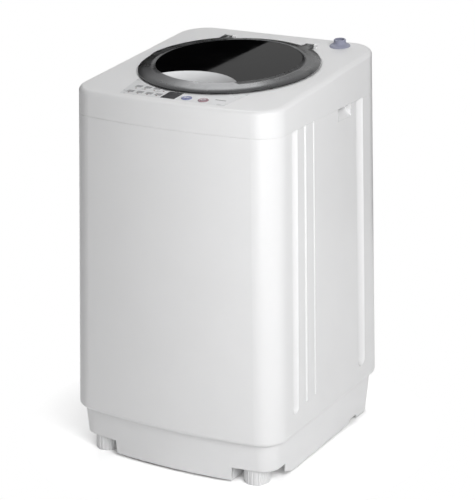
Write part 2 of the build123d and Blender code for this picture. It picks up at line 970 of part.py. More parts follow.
# Control panel: film, display window, indicator lenses and two sprung buttons
with BuildPart() as control_overlay:
    extrude(overlay_outline(-overlay_depth, overlay_side_gap), amount=overlay_thickness)
    with BuildSketch(top_plane(rise=-overlay_depth)):
        with Locations(display_mark):
            Rectangle(display_width, display_length)
        with Locations(*button_marks):
            Circle(button_radius + button_gap)
        with Locations(*indicator_marks):
            Circle(indicator_radius)
    extrude(amount=overlay_thickness, mode=Mode.SUBTRACT)
keep(control_overlay.part, "control_overlay")

with BuildPart() as display_window:
    with BuildSketch(top_plane(rise=-display_thickness)):
        with Locations(display_mark):
            pane_width = display_width - 2 * display_gap
            pane_length = display_length - 2 * display_gap
            RectangleRounded(pane_width, pane_length, display_corner)
    extrude(amount=display_thickness + overlay_thickness - overlay_depth)
keep(display_window.part, "display_window")

with BuildPart() as indicator_lights:
    with BuildSketch(top_plane(rise=-top_skin - lens_tail)):
        with Locations(*indicator_marks):
            Circle(indicator_radius)
    extrude(amount=top_skin + lens_tail + overlay_thickness)
keep(indicator_lights.part, "indicator_lights")

switch_top = -top_skin - board_drop + switch_height
for button_name, button_x in button_places:
    with BuildPart() as button:
        flange_top = -top_skin - button_gap
        with BuildSketch(top_section(button_x, button_y)):
            with BuildLine():
                Polyline(
                    (0, button_rise - button_dish),
                    (button_radius - 2 * button_rim, button_rise - button_dish / 2),
                    (button_radius - button_rim, button_rise),
                    (button_radius, button_rise - button_edge),
                    (button_radius, flange_top),
                    (button_radius + button_flange, flange_top),
                    (button_radius + button_flange, flange_top - button_flange_thickness),
                    (button_stem_radius, flange_top - button_flange_thickness),
                    (button_stem_radius, switch_top + button_travel + button_gap),
                    (0, switch_top + button_travel + button_gap),
                    close=True,
                )
            make_face()
        revolve(axis=top_axis(button_x, button_y))
    keep(button.part, button_name)

with BuildPart() as control_box:
    with BuildSketch(top_plane(0, box_y, -top_skin)):
        RectangleRounded(box_width, box_length, box_corner)
    extrude(amount=-box_depth)
    with BuildSketch(top_plane(0, box_y, -top_skin)):
        RectangleRounded(box_width - 2 * box_wall, box_length - 2 * box_wall, box_corner - box_wall)
    extrude(amount=-box_depth + box_wall, mode=Mode.SUBTRACT)
    with BuildSketch(top_plane(rise=-top_skin - lid_recess)):
        Circle(lid_recess_radius + top_skin)
    extrude(amount=2 * lid_recess, mode=Mode.SUBTRACT)
    with BuildSketch(top_plane(0, box_y, -top_skin - box_depth)):
        with GridLocations(box_width - 2 * box_boss_inset_x, box_length - 2 * box_boss_inset_y, 2, 2):
            Circle(box_boss_radius)
    extrude(amount=box_depth - board_drop - board_thickness)
keep(control_box.part, "control_box")

with BuildPart() as control_board:
    board_face = -top_skin - board_drop
    with BuildSketch(top_plane(0, box_y, board_face)):
        Rectangle(box_width - 2 * board_gap_x, box_length - 2 * board_gap_y)
    extrude(amount=-board_thickness)
    with BuildSketch(top_plane(rise=board_face)):
        with Locations(*button_marks):
            Rectangle(switch_size, switch_size)
    extrude(amount=switch_top - board_face)
    with BuildSketch(top_plane(rise=board_face)):
        with Locations(display_mark):
            Rectangle(display_width - 2 * display_block_gap, display_length - 2 * display_block_gap)
    extrude(amount=board_drop - display_block_drop)
    with BuildSketch(top_plane(rise=board_face)):
        with Locations(*indicator_marks):
            Circle(indicator_radius + lens_socket_wall)
    extrude(amount=board_drop - lens_socket_drop)
    with BuildSketch(top_plane(0, box_y, board_face - board_thickness)):
        with Locations(*relay_places):
            Rectangle(*relay_size)
        with Locations(*chip_places):
            Rectangle(*chip_size)
    extrude(amount=-board_part_height)
keep(control_board.part, "control_board")

# Lid: a channel-section ring with a hinge ear each side, a smoked window and a scooped grip
scoop_ball = (grip_arc_radius ** 2 - (grip_arc_y + window_radius) ** 2) / (2 * scoop_depth)
ball_rise = math.sqrt(scoop_ball ** 2 - grip_arc_radius ** 2)
window_top = lid_rise - window_sink
window_bottom = window_top - window_thickness
ring_inner = window_radius + window_gap
with BuildPart() as lid_frame:
    with BuildSketch(top_section()):
        with BuildLine():
            Polyline(
                (lid_radius - lid_edge_chamfer, lid_underside),
                (lid_radius, lid_underside + lid_edge_chamfer),
                (lid_radius, lid_edge_rise - lid_edge_round),
                (lid_radius - lid_edge_round, lid_edge_rise),
                (ring_inner, lid_rise),
                (ring_inner, window_bottom),
                (ring_inner - window_ledge, window_bottom),
                (ring_inner - window_ledge, window_bottom - ledge_thickness),
                (ring_inner, window_bottom - ledge_thickness),
                (ring_inner, -lid_recess + bumper_gap),
                (ring_inner + lid_skin, -lid_recess + bumper_gap),
                (ring_inner + lid_skin, lid_rise - lid_skin),
                (lid_radius - lid_skin - lid_inner_chamfer, lid_edge_rise - lid_skin),
                (lid_radius - lid_skin, lid_edge_rise - lid_skin - lid_inner_chamfer),
                (lid_radius - lid_skin, lid_underside),
                close=True,
            )
        make_face()
    revolve(axis=top_axis())
    with BuildSketch(top_plane(rise=lid_underside)):
        with PolarLocations((ring_inner + lid_radius) / 2, lid_rib_count):
            Rectangle(lid_radius - ring_inner - lid_skin, rib_thickness)
    extrude(amount=lid_edge_rise - lid_skin - lid_underside + lid_rib_bite)
    with BuildSketch(top_plane(rise=window_bottom - ledge_thickness)):
        Circle(ring_inner)
        with Locations((0, grip_arc_y)):
            Circle(grip_arc_radius, mode=Mode.INTERSECT)
    extrude(amount=ledge_thickness, mode=Mode.SUBTRACT)
    for side in (-1, 1):
        ear_x = ear_inner if side > 0 else -ear_inner - ear_width
        with BuildSketch(side_section(ear_x)):
            with Locations((hinge_v, hinge_rise)):
                Circle(knuckle_radius)
            with Locations((hinge_v - ear_reach / 2, hinge_rise)):
                Rectangle(ear_reach, ear_height)
        extrude(amount=ear_width)
        with BuildSketch(side_section(ear_x)):
            with Locations((hinge_v, hinge_rise)):
                Circle(pin_radius + pin_clearance)
        extrude(amount=ear_width, mode=Mode.SUBTRACT)
keep(lid_frame.part, "lid_frame")

with BuildPart() as lid_window:
    with BuildSketch(top_plane(rise=window_bottom)):
        Circle(window_radius)
        with Locations((0, grip_arc_y)):
            Circle(grip_arc_radius, mode=Mode.SUBTRACT)
    extrude(amount=window_thickness)
keep(lid_window.part, "lid_window")

with BuildPart() as lid_grip:
    with BuildSketch(top_plane(rise=window_top - scoop_depth - 2 * scoop_skin)):
        Circle(ring_inner)
        with Locations((0, grip_arc_y)):
            Circle(grip_arc_radius - grip_gap, mode=Mode.INTERSECT)
    extrude(amount=scoop_depth + 2 * scoop_skin)
    scoop_centre = top_plane(rise=window_top + ball_rise).from_local_coords(Vector(0, grip_arc_y, 0))
    with Locations(scoop_centre):
        Sphere(scoop_ball + scoop_skin, mode=Mode.INTERSECT)
    with Locations(scoop_centre):
        Sphere(scoop_ball, mode=Mode.SUBTRACT)
keep(lid_grip.part, "lid_grip")

with BuildPart() as lid_bumpers:
    with BuildSketch(top_plane(rise=-lid_recess + bumper_gap)):
        bumper_circle = lid_radius - lid_skin - bumper_radius - bumper_wall_gap
        for start_angle in (bumper_angle, 180 - bumper_angle):
            with PolarLocations(bumper_circle, 2, start_angle=start_angle):
                Circle(bumper_radius)
    extrude(amount=lid_edge_rise - lid_skin + lid_recess - bumper_gap)
keep(lid_bumpers.part, "lid_bumpers")

magnet_reach = (ring_inner + lid_radius) / 2
magnet_place = (
    magnet_reach * math.cos(math.radians(magnet_angle)),
    magnet_reach * math.sin(math.radians(magnet_angle)),
)
with BuildPart() as lid_magnet:
    with BuildSketch(top_plane(rise=lid_edge_rise - lid_skin)):
        with Locations(magnet_place):
            Circle(magnet_radius)
    extrude(amount=-magnet_height)
keep(lid_magnet.part, "lid_magnet")

with BuildPart() as lid_switch:
    with BuildSketch(top_plane(rise=-top_skin - lid_recess)):
        with Locations(Location((0, 0, 0), (0, 0, magnet_angle))):
            with Locations((magnet_reach + reed_offset, 0)):
                RectangleRounded(reed_width, reed_length, reed_corner)
    extrude(amount=-reed_height)
keep(lid_switch.part, "lid_switch")

with BuildPart() as hinge_pins:
    for side in (-1, 1):
        pin_length = ear_width + 2 * hinge_side_gap + 2 * lug_width
        pin_start = ear_inner - hinge_side_gap - lug_width
        pin_x = pin_start if side > 0 else -pin_start - pin_length
        with BuildSketch(side_section(pin_x)):
            with Locations((hinge_v, hinge_rise)):
                Circle(pin_radius)
        extrude(amount=pin_length)
keep(hinge_pins.part, "hinge_pins")

# Water inlet, its strainer, the solenoid valve under it and the spout over the tub
with BuildPart() as water_inlet:
    inlet_web_under = inlet_height - inlet_bore_depth - inlet_web
    with BuildSketch(top_section(inlet_x, inlet_y)):
        with BuildLine():
            Polyline(
                (0, inlet_height - inlet_bore_depth),
                (inlet_bore, inlet_height - inlet_bore_depth),
                (inlet_bore, inlet_height),
                (inlet_neck_radius - inlet_edge, inlet_height),
                (inlet_neck_radius, inlet_height - inlet_edge),
                (inlet_neck_radius, inlet_flange_height + 1.5 * inlet_foot),
                (inlet_neck_radius + inlet_foot, inlet_flange_height + inlet_foot / 2),
                (inlet_flange_radius - inlet_foot, inlet_flange_height - inlet_brim),
                (inlet_flange_radius, inlet_brim),
                (inlet_flange_radius, 0),
                (inlet_tail_radius, 0),
                (inlet_tail_radius, -inlet_tail),
                (inlet_tail_radius - inlet_tail_wall, -inlet_tail),
                (inlet_tail_radius - inlet_tail_wall, inlet_web_under),
                (0, inlet_web_under),
                close=True,
            )
        make_face()
    revolve(axis=top_axis(inlet_x, inlet_y))
    with BuildSketch(top_plane(inlet_x, inlet_y, inlet_web_under)):
        with GridLocations(inlet_hole_pitch, inlet_hole_pitch, 3, 3):
            Circle(inlet_hole_radius)
    extrude(amount=inlet_web, mode=Mode.SUBTRACT)
keep(water_inlet.part, "water_inlet")

with BuildPart() as inlet_strainer:
    with BuildSketch(top_plane(inlet_x, inlet_y, inlet_height - inlet_bore_depth)):
        Circle(inlet_bore)
        Circle(inlet_bore - strainer_rim, mode=Mode.SUBTRACT)
        Rectangle(2 * inlet_bore - strainer_rim, strainer_bar)
        Rectangle(strainer_bar, 2 * inlet_bore - strainer_rim)
    extrude(amount=strainer_height)
keep(inlet_strainer.part, "inlet_strainer")

valve_top = -inlet_tail
with BuildPart() as inlet_valve:
    with BuildSketch(top_plane(inlet_x, inlet_y, valve_top)):
        Circle(solenoid_radius)
    extrude(amount=-solenoid_height)
    with BuildSketch(top_plane(inlet_x, inlet_y, valve_top - coil_drop)):
        with Locations((-coil_reach, 0)):
            RectangleRounded(coil_length, coil_width, coil_corner)
    extrude(amount=-coil_height)
    with BuildSketch(top_plane(inlet_x, inlet_y, valve_top - solenoid_height)):
        Circle(port_radius)
    extrude(amount=-port_length)
keep(inlet_valve.part, "inlet_valve")

# Suspension: corner brackets in the shell, rods with ball heads, seats, cups and springs
rod_places = [(sx * rod_x, drum_y + sy * rod_reach) for sx, sy, corner in corner_signs]
with BuildPart() as hanger_brackets:
    add(shell_cavity.part)
    with Locations(*[(x, y, bracket_z + bracket_thickness / 2) for x, y in rod_places]):
        Box(bracket_size, bracket_size, bracket_thickness, mode=Mode.INTERSECT)
    with Locations((0, drum_y, bracket_z)):
        Cylinder(bracket_bore, 3 * bracket_thickness, mode=Mode.SUBTRACT)
    with Locations(*[(x, y, bracket_z) for x, y in rod_places]):
        Cylinder(rod_radius + bracket_hole_gap, 3 * bracket_thickness, mode=Mode.SUBTRACT)
keep(hanger_brackets.part, "hanger_brackets")

bracket_top = bracket_z + bracket_thickness
with BuildPart() as rod_seats:
    with BuildSketch(Plane.XY.offset(bracket_top)):
        with Locations(*rod_places):
            Circle(seat_radius)
            Circle(rod_radius + seat_hole_gap, mode=Mode.SUBTRACT)
    extrude(amount=seat_height)
    with Locations(*[(x, y, bracket_top + seat_height) for x, y in rod_places]):
        Sphere(ball_radius, mode=Mode.SUBTRACT)
keep(rod_seats.part, "rod_seats")

with BuildPart() as suspension_rods:
    with Locations(*[(x, y, bracket_top + seat_height) for x, y in rod_places]):
        Sphere(ball_radius)
    with BuildSketch(Plane.XY.offset(rod_bottom)):
        with Locations(*rod_places):
            Circle(rod_radius)
    extrude(amount=bracket_top + seat_height - rod_bottom)
    with BuildSketch(Plane.XY.offset(rod_bottom)):
        with Locations(*rod_places):
            RegularPolygon(nut_radius, 6)
    extrude(amount=nut_height)
    with BuildSketch(Plane.XY.offset(rod_bottom + nut_height)):
        with Locations(*rod_places):
            Circle(washer_radius)
    extrude(amount=washer_thickness)
keep(suspension_rods.part, "suspension_rods")

cup_bottom = lug_bottom - cup_height
with BuildPart() as damper_cups:
    with BuildSketch(Plane.XY.offset(cup_bottom)):
        with Locations(*rod_places):
            Circle(cup_radius)
            Circle(rod_radius + rod_clearance, mode=Mode.SUBTRACT)
    extrude(amount=cup_height)
    with BuildSketch(Plane.XY.offset(cup_bottom)):
        with Locations(*rod_places):
            Circle(spring_radius + spring_wire + spring_gap)
            Circle(spring_radius - spring_wire - spring_gap, mode=Mode.SUBTRACT)
    extrude(amount=cup_height - cup_web, mode=Mode.SUBTRACT)
keep(damper_cups.part, "damper_cups")

spring_bottom = rod_bottom + nut_height + washer_thickness
spring_top = cup_bottom + cup_height - cup_web
spring_rise = spring_top - spring_bottom - 2 * spring_wire
with BuildPart() as suspension_springs:
    for rod_place in rod_places:
        with BuildLine() as coil:
            coil_start = (rod_place[0], rod_place[1], spring_bottom + spring_wire)
            Helix(spring_rise / spring_turns, spring_rise, spring_radius, center=coil_start)
        with BuildSketch(Plane(origin=coil.line @ 0, z_dir=coil.line % 0)):
            Circle(spring_wire)
        sweep(path=coil.line, is_frenet=True)
keep(suspension_springs.part, "suspension_springs")

# Outer tub: rim, suspension lugs with gussets, ribs under the floor, drain hole and air chamber
drum_axis = Axis((0, drum_y, 0), (0, 0, 1))


def drum_section(angle):
    """Upright plane through the drum's axis, turned about it."""
    turned = (math.cos(angle), math.sin(angle), 0)
    square = (math.sin(angle), -math.cos(angle), 0)
    return Plane(origin=(0, drum_y, 0), x_dir=turned, z_dir=square)


def widest_ring(builder, height, near=0.5):
    """Largest round edge that a part has near a height."""
    rings = builder.edges().filter_by(GeomType.CIRCLE)
    return rings.filter_by_position(Axis.Z, height - near, height + near).sort_by(SortBy.RADIUS)[-1]


rod_circle = math.hypot(rod_x, rod_reach)
with BuildPart() as outer_tub:
    with BuildSketch(drum_section(0)):
        with BuildLine():
            Polyline(
                (tub_hub_bore, tub_bottom),
                (tub_radius, tub_bottom),
                (tub_radius, tub_top - tub_rim_height),
                (tub_radius + tub_rim, tub_top - tub_rim_height),
                (tub_radius + tub_rim, tub_top),
                (tub_radius - tub_wall, tub_top),
                (tub_radius - tub_wall, tub_bottom + tub_wall),
                (tub_hub_radius, tub_bottom + tub_wall),
                (tub_hub_radius, tub_bottom + tub_hub_rise),
                (tub_hub_bore, tub_bottom + tub_hub_rise),
                close=True,
            )
        make_face()
    revolve(axis=drum_axis)
    fillet(widest_ring(outer_tub, tub_bottom), tub_round)
    fillet(widest_ring(outer_tub, tub_bottom + tub_wall), tub_round - tub_wall)
    for rod_place in rod_places:
        rod_angle = math.atan2(rod_place[1] - drum_y, rod_place[0])
        with BuildSketch(Plane.XY.offset(lug_bottom)):
            arm_start = tub_radius - tub_wall / 2
            with Locations(Location((0, drum_y, 0), (0, 0, math.degrees(rod_angle)))):
                with Locations(((arm_start + rod_circle) / 2, 0)):
                    Rectangle(rod_circle - arm_start, 2 * lug_half_width)
            with Locations(rod_place):
                Circle(lug_half_width)
                Circle(rod_radius + lug_hole_gap, mode=Mode.SUBTRACT)
        extrude(amount=lug_thickness)
        with BuildSketch(drum_section(rod_angle)):
            with BuildLine():
                Polyline(
                    (tub_radius - gusset_bite, lug_bottom - gusset_height),
                    (tub_radius - gusset_bite, lug_bottom),
                    (rod_circle - cup_radius - gusset_end_gap, lug_bottom),
                    close=True,
                )
            make_face()
        extrude(amount=gusset_half, both=True)
    with BuildSketch(Plane.XY.offset(tub_bottom - tub_rib_depth)):
        with Locations((0, drum_y)):
            rib_middle = (tub_rib_inner + tub_rib_outer) / 2
            with PolarLocations(rib_middle, tub_rib_count, start_angle=180 / tub_rib_count):
                Rectangle(tub_rib_outer - tub_rib_inner, tub_wall)
    extrude(amount=tub_rib_depth)
    with BuildSketch(Plane.XY.offset(tub_bottom)):
        with Locations((valve_x, valve_y)):
            Circle(valve_bore)
    extrude(amount=tub_wall, mode=Mode.SUBTRACT)
    with BuildSketch(Plane.XY.offset(tub_bottom + tub_round)):
        with Locations((tub_radius + (air_chamber_depth - tub_wall) / 2, drum_y)):
            Rectangle(air_chamber_depth + tub_wall, air_chamber_width)
        with Locations((0, drum_y)):
            Circle(tub_radius - tub_wall / 2, mode=Mode.SUBTRACT)
    extrude(amount=air_chamber_height)
keep(outer_tub.part, "outer_tub")

with BuildPart() as tub_cover:
    cover_outer = tub_radius + tub_rim
    cover_top = tub_top + tub_cover_height
    cover_inside = tub_cover_inner + tub_cover_wall
    cover_bend = cover_outer - tub_cover_shoulder
    with BuildSketch(drum_section(0)):
        with BuildLine():
            Polyline(
                (cover_outer - tub_cover_wall, tub_top),
                (cover_outer, tub_top),
                (cover_outer, tub_top + tub_cover_edge),
                (cover_bend, cover_top - tub_cover_fall),
                (cover_inside, cover_top),
                (tub_cover_inner, cover_top - tub_cover_wall),
                (tub_cover_inner, tub_top - tub_cover_lip),
                (cover_inside, tub_top - tub_cover_lip),
                (cover_inside, cover_top - tub_cover_wall),
                (cover_bend - tub_cover_fall, cover_top - tub_cover_wall - tub_cover_fall),
                (cover_outer - tub_cover_wall, tub_top + tub_cover_edge - tub_cover_wall),
                close=True,
            )
        make_face()
    revolve(axis=drum_axis)
keep(tub_cover.part, "tub_cover")

# Spin basket: perforated steel wall with beads, liquid balance ring, plastic floor and lint filter
with BuildPart() as spin_basket:
    with BuildSketch(drum_section(0)):
        with BuildLine():
            outer_wall = [(basket_radius, basket_bottom)]
            for bead in bead_heights:
                outer_wall += [
                    (basket_radius, bead - bead_half),
                    (basket_radius + bead_depth, bead),
                    (basket_radius, bead + bead_half),
                ]
            outer_wall += [(basket_radius, basket_top)]
            inner_wall = [(radius - basket_wall, height) for radius, height in reversed(outer_wall)]
            Polyline(*outer_wall, *inner_wall, close=True)
        make_face()
    revolve(axis=drum_axis)
    holes_bottom = bead_heights[0] + basket_hole_margin
    hole_rise = (bead_heights[1] - basket_hole_margin - holes_bottom) / (basket_hole_rows - 1)
    for row in range(basket_hole_rows):
        row_turn = 180 / basket_hole_columns * (row % 2)
        with Locations((0, drum_y, holes_bottom + row * hole_rise)):
            with PolarLocations(basket_radius, basket_hole_columns, start_angle=row_turn):
                Cylinder(basket_hole_radius, 6 * basket_wall, rotation=(0, 90, 0), mode=Mode.SUBTRACT)
keep(spin_basket.part, "spin_basket")

with BuildPart() as balance_ring:
    with BuildSketch(drum_section(0)):
        with BuildLine():
            Polyline(
                (balance_inner + balance_lip, basket_top - balance_lip),
                (basket_radius - basket_wall, basket_top - balance_lip),
                (basket_radius - basket_wall, basket_top),
                (basket_radius + balance_gap, basket_top),
                (basket_radius + balance_gap, basket_top - balance_lap),
                (balance_outer, basket_top - balance_lap),
                (balance_outer, balance_top - balance_edge),
                (balance_outer - balance_edge, balance_top),
                (balance_inner + balance_edge, balance_top),
                (balance_inner, balance_top - balance_edge),
                (balance_inner, basket_top),
                close=True,
            )
        make_face()
    revolve(axis=drum_axis)
keep(balance_ring.part, "balance_ring")

inner_radius = basket_radius - basket_wall
floor_under = basket_floor - basket_floor_wall
with BuildPart() as basket_base:
    with BuildSketch(drum_section(0)):
        with BuildLine():
            Polyline(
                (spin_tube_outer, basket_hub_bottom),
                (basket_hub_radius, basket_hub_bottom),
                (basket_hub_radius, floor_under),
                (well_radius + basket_floor_wall, floor_under),
                (well_radius + basket_floor_wall + floor_flare, basket_floor + well_depth - floor_drop),
                (basket_radius, basket_bottom - floor_drop),
                (basket_radius, basket_bottom),
                (inner_radius, basket_bottom),
                (inner_radius, basket_bottom + floor_spigot_height),
                (inner_radius - floor_spigot_wall, basket_bottom + floor_spigot_height),
                (inner_radius - floor_spigot_wall, basket_bottom + floor_step),
                (well_radius + floor_flare, basket_floor + well_depth),
                (well_radius, basket_floor),
                (spin_tube_outer, basket_floor),
                close=True,
            )
        make_face()
    revolve(axis=drum_axis)
    with BuildSketch(Plane.XY.offset(floor_under)):
        with Locations((0, drum_y)):
            with PolarLocations(floor_hole_circle, floor_hole_count):
                Circle(floor_hole_radius)
    extrude(amount=basket_floor_wall, mode=Mode.SUBTRACT)
keep(basket_base.part, "basket_base")

with BuildPart() as lint_filter:
    with BuildSketch(Plane.XY.offset(filter_bottom)):
        with Locations((0, drum_y)):
            Circle(inner_radius)
            Circle(inner_radius - filter_depth, mode=Mode.SUBTRACT)
        with Locations((0, drum_y + inner_radius)):
            Rectangle(filter_width, 4 * filter_depth, mode=Mode.INTERSECT)
    extrude(amount=filter_height)
    with BuildSketch(Plane.XY.offset(filter_bottom + filter_rim)):
        with Locations((0, drum_y)):
            Circle(inner_radius)
            Circle(inner_radius - filter_depth + filter_skin, mode=Mode.SUBTRACT)
        with Locations((0, drum_y + inner_radius)):
            Rectangle(filter_width - 2 * filter_rim, 4 * filter_depth, mode=Mode.INTERSECT)
    extrude(amount=filter_height - 2 * filter_rim, mode=Mode.SUBTRACT)
    with BuildSketch(Plane.XZ.offset(-drum_y - inner_radius + 2 * filter_depth)):
        with Locations((0, filter_bottom + filter_height / 2)):
            with GridLocations(mesh_pitch_x, mesh_pitch_z, mesh_columns, mesh_rows):
                Rectangle(mesh_pitch_x - mesh_bar, mesh_pitch_z - mesh_bar)
    extrude(amount=-2 * filter_depth, mode=Mode.SUBTRACT)
keep(lint_filter.part, "lint_filter")

# Pulsator: a dished disc with a cone and swept vanes, screwed to the wash shaft
dish_under = basket_floor + pulsator_gap
dish_top = dish_under + pulsator_edge
cone_top = dish_top + dish_rise + cone_rise
shaft_top = cone_top - shaft_drop
hub_radius = shaft_radius + hub_wall
with BuildPart() as pulsator:
    with BuildSketch(drum_section(0)):
        with BuildLine():
            Polyline(
                (shaft_radius, dish_under),
                (hub_radius, dish_under),
                (hub_radius, shaft_top - rim_round),
                (cone_radius, dish_top + dish_rise - pulsator_skin),
                (pulsator_radius - pulsator_skin, dish_top - pulsator_skin + rim_round / 2),
                (pulsator_radius - pulsator_skin, dish_under),
                (pulsator_radius, dish_under),
                (pulsator_radius, dish_top - rim_round),
                (pulsator_radius - rim_round, dish_top),
                (cone_radius + cone_foot, dish_top + dish_rise),
                (cone_radius - cone_waist, dish_top + dish_rise + cone_rise * cone_waist_share),
                (hub_radius - rim_round, cone_top - cone_crown),
                (hub_screw_well, cone_top - cone_crown + rim_round / 2),
                (hub_screw_well, shaft_top + hub_web),
                (hub_screw_shank, shaft_top + hub_web),
                (hub_screw_shank, shaft_top),
                (shaft_radius, shaft_top),
                close=True,
            )
        make_face()
    revolve(axis=drum_axis)
    for vane in range(vane_count):
        vane_angle = 2 * math.pi * vane / vane_count
        sections = []
        vane_start = cone_radius - vane_bite
        vane_end = pulsator_radius - vane_end_gap
        for share, swept, size in vane_shape:
            reach = vane_start + (vane_end - vane_start) * share
            height = dish_top + dish_rise * (1 - share)
            angle = vane_angle + math.radians(vane_sweep) * swept
            outward = (math.cos(angle), math.sin(angle), 0)
            across = (-math.sin(angle), math.cos(angle), 0)
            origin = (reach * outward[0], drum_y + reach * outward[1], height - vane_sink)
            with BuildSketch(Plane(origin=origin, x_dir=across, z_dir=outward)) as vane_section:
                Ellipse(vane_width * (1 + size) / 4, vane_height * size)
                with Locations((0, -vane_height)):
                    Rectangle(3 * vane_width, 2 * vane_height, mode=Mode.SUBTRACT)
            sections.append(vane_section.sketch)
        loft(sections)
keep(pulsator.part, "pulsator")

with BuildPart() as pulsator_screw:
    with BuildSketch(Plane.XY.offset(shaft_top + hub_web)):
        with Locations((0, drum_y)):
            Circle(hub_screw_radius)
    extrude(amount=hub_screw_height)
    with BuildSketch(Plane.XY.offset(shaft_top + hub_web + hub_screw_height)):
        with Locations((0, drum_y)):
            Rectangle(cross_length, cross_width)
            Rectangle(cross_width, cross_length)
    extrude(amount=-cross_width, mode=Mode.SUBTRACT)
    with BuildSketch(Plane.XY.offset(shaft_top + hub_web)):
        with Locations((0, drum_y)):
            Circle(hub_screw_shank)
    extrude(amount=-hub_screw_length)
keep(pulsator_screw.part, "pulsator_screw")

with BuildPart() as wash_shaft:
    with BuildSketch(Plane.XY.offset(shaft_bottom)):
        with Locations((0, drum_y)):
            Circle(shaft_radius)
    extrude(amount=shaft_top - shaft_bottom)
    chamfer(wash_shaft.faces().sort_by(Axis.Z)[0].edges(), shaft_chamfer)
    with BuildSketch(Plane.XY.offset(shaft_top)):
        with Locations((0, drum_y)):
            Circle(hub_screw_shank)
    extrude(amount=-shaft_thread_depth, mode=Mode.SUBTRACT)
keep(wash_shaft.part, "wash_shaft")

with BuildPart() as spin_tube:
    with BuildSketch(Plane.XY.offset(spin_tube_bottom)):
        with Locations((0, drum_y)):
            Circle(spin_tube_outer)
            Circle(spin_tube_inner, mode=Mode.SUBTRACT)
    extrude(amount=basket_floor - spin_tube_bottom)
keep(spin_tube.part, "spin_tube")

# Gear case with its seal and lower bearing, on the plate that also carries the motor
plate_top = tub_bottom - tub_rib_depth
plate_bottom = plate_top - plate_thickness
with BuildPart() as gear_case:
    with BuildSketch(drum_section(0)):
        with BuildLine():
            case_bore = spin_tube_outer + case_bore_clearance
            Polyline(
                (bearing_radius, case_bottom),
                (case_radius - case_foot, case_bottom),
                (case_radius - case_shoulder, case_bottom + case_step),
                (case_radius, case_bottom + case_slope),
                (case_radius, plate_bottom - case_flange_thickness),
                (case_flange_radius, plate_bottom - case_flange_thickness),
                (case_flange_radius, plate_bottom),
                (tub_hub_bore, plate_bottom),
                (tub_hub_bore, tub_bottom),
                (case_bore, tub_bottom),
                (case_bore, case_bottom + bearing_height),
                (bearing_radius, case_bottom + bearing_height),
                close=True,
            )
        make_face()
    revolve(axis=drum_axis)
    with BuildSketch(Plane.XY.offset(case_bottom + case_rib_start)):
        with Locations((0, drum_y)):
            with PolarLocations((case_radius + case_flange_radius - case_rib_thickness) / 2, case_rib_count):
                Rectangle(case_rib_length, case_rib_thickness)
    extrude(amount=plate_bottom - case_bottom - case_rib_start)
keep(gear_case.part, "gear_case")

with BuildPart() as shaft_bearing:
    with BuildSketch(Plane.XY.offset(case_bottom)):
        with Locations((0, drum_y)):
            Circle(bearing_radius)
            Circle(shaft_radius + case_bore_clearance, mode=Mode.SUBTRACT)
    extrude(amount=bearing_height)
keep(shaft_bearing.part, "shaft_bearing")

with BuildPart() as tub_seal:
    with BuildSketch(Plane.XY.offset(tub_bottom)):
        with Locations((0, drum_y)):
            Circle(tub_hub_bore)
            Circle(spin_tube_outer + case_bore_clearance, mode=Mode.SUBTRACT)
    extrude(amount=tub_hub_rise)
keep(tub_seal.part, "tub_seal")

with BuildPart() as motor_plate:
    with BuildSketch(Plane.XY.offset(plate_bottom)):
        with Locations((0, drum_y)):
            Circle(case_flange_radius + plate_margin)
        with Locations((motor_x, motor_y)):
            Circle(motor_radius + plate_motor_margin)
        make_hull()
        with Locations((0, drum_y)):
            Circle(tub_hub_bore, mode=Mode.SUBTRACT)
        with Locations((motor_x / 2, (motor_y + drum_y) / 2)):
            slot_turn = math.degrees(math.atan2(motor_y - drum_y, motor_x))
            SlotOverall(plate_slot_length, plate_slot_width, rotation=slot_turn, mode=Mode.SUBTRACT)
    extrude(amount=plate_thickness)
keep(motor_plate.part, "motor_plate")

motor_axis = Axis((motor_x, motor_y, 0), (0, 0, 1))
with BuildPart() as drive_motor:
    with BuildSketch(upright(motor_x, motor_y)):
        with BuildLine():
            shaft_bore = motor_shaft_radius + case_bore_clearance
            Polyline(
                (shaft_bore, motor_bottom),
                (motor_nose_radius, motor_bottom),
                (motor_nose_radius, motor_bottom + motor_nose_height),
                (motor_radius - motor_shoulder, motor_bottom + motor_nose_height),
                (motor_radius - motor_waist, motor_bottom + motor_shoulder),
                (motor_radius - motor_waist, motor_bottom + motor_band_bottom),
                (motor_radius, motor_bottom + motor_band_bottom),
                (motor_radius, motor_bottom + motor_band_top),
                (motor_radius - motor_waist, motor_bottom + motor_band_top),
                (motor_radius - motor_waist, plate_bottom - motor_flange),
                (motor_radius, plate_bottom - motor_flange),
                (motor_radius, plate_bottom),
                (0, plate_bottom),
                (0, motor_bottom + motor_bore_reach),
                (shaft_bore, motor_bottom + motor_bore_reach),
                close=True,
            )
        make_face()
    revolve(axis=motor_axis)
    with Locations((motor_x, motor_y, motor_bottom + motor_vent_rise)):
        with PolarLocations(motor_radius - motor_waist, motor_vent_count):
            Box(*motor_vent, mode=Mode.SUBTRACT)
keep(drive_motor.part, "drive_motor")


def pulley_section(plane, rim, hub, bore):
    """Half section of a flat-belt pulley with a groove, drawn from its shaft."""
    low = pulley_bottom
    high = pulley_bottom + pulley_width
    cheek = (pulley_width - belt_height) / 2 - belt_gap
    groove = rim - groove_depth
    inside = groove - pulley_rim_wall
    with BuildSketch(plane) as section:
        with BuildLine():
            Polyline(
                (bore, low - pulley_hub_proud),
                (hub, low - pulley_hub_proud),
                (hub, low + pulley_web_inset),
                (inside, low + pulley_web_inset),
                (inside, low),
                (rim, low),
                (rim, low + cheek),
                (groove, low + cheek),
                (groove, high - cheek),
                (rim, high - cheek),
                (rim, high),
                (inside, high),
                (inside, high - pulley_web_inset),
                (hub, high - pulley_web_inset),
                (hub, high + pulley_hub_proud),
                (bore, high + pulley_hub_proud),
                close=True,
            )
        make_face()
    return section.sketch


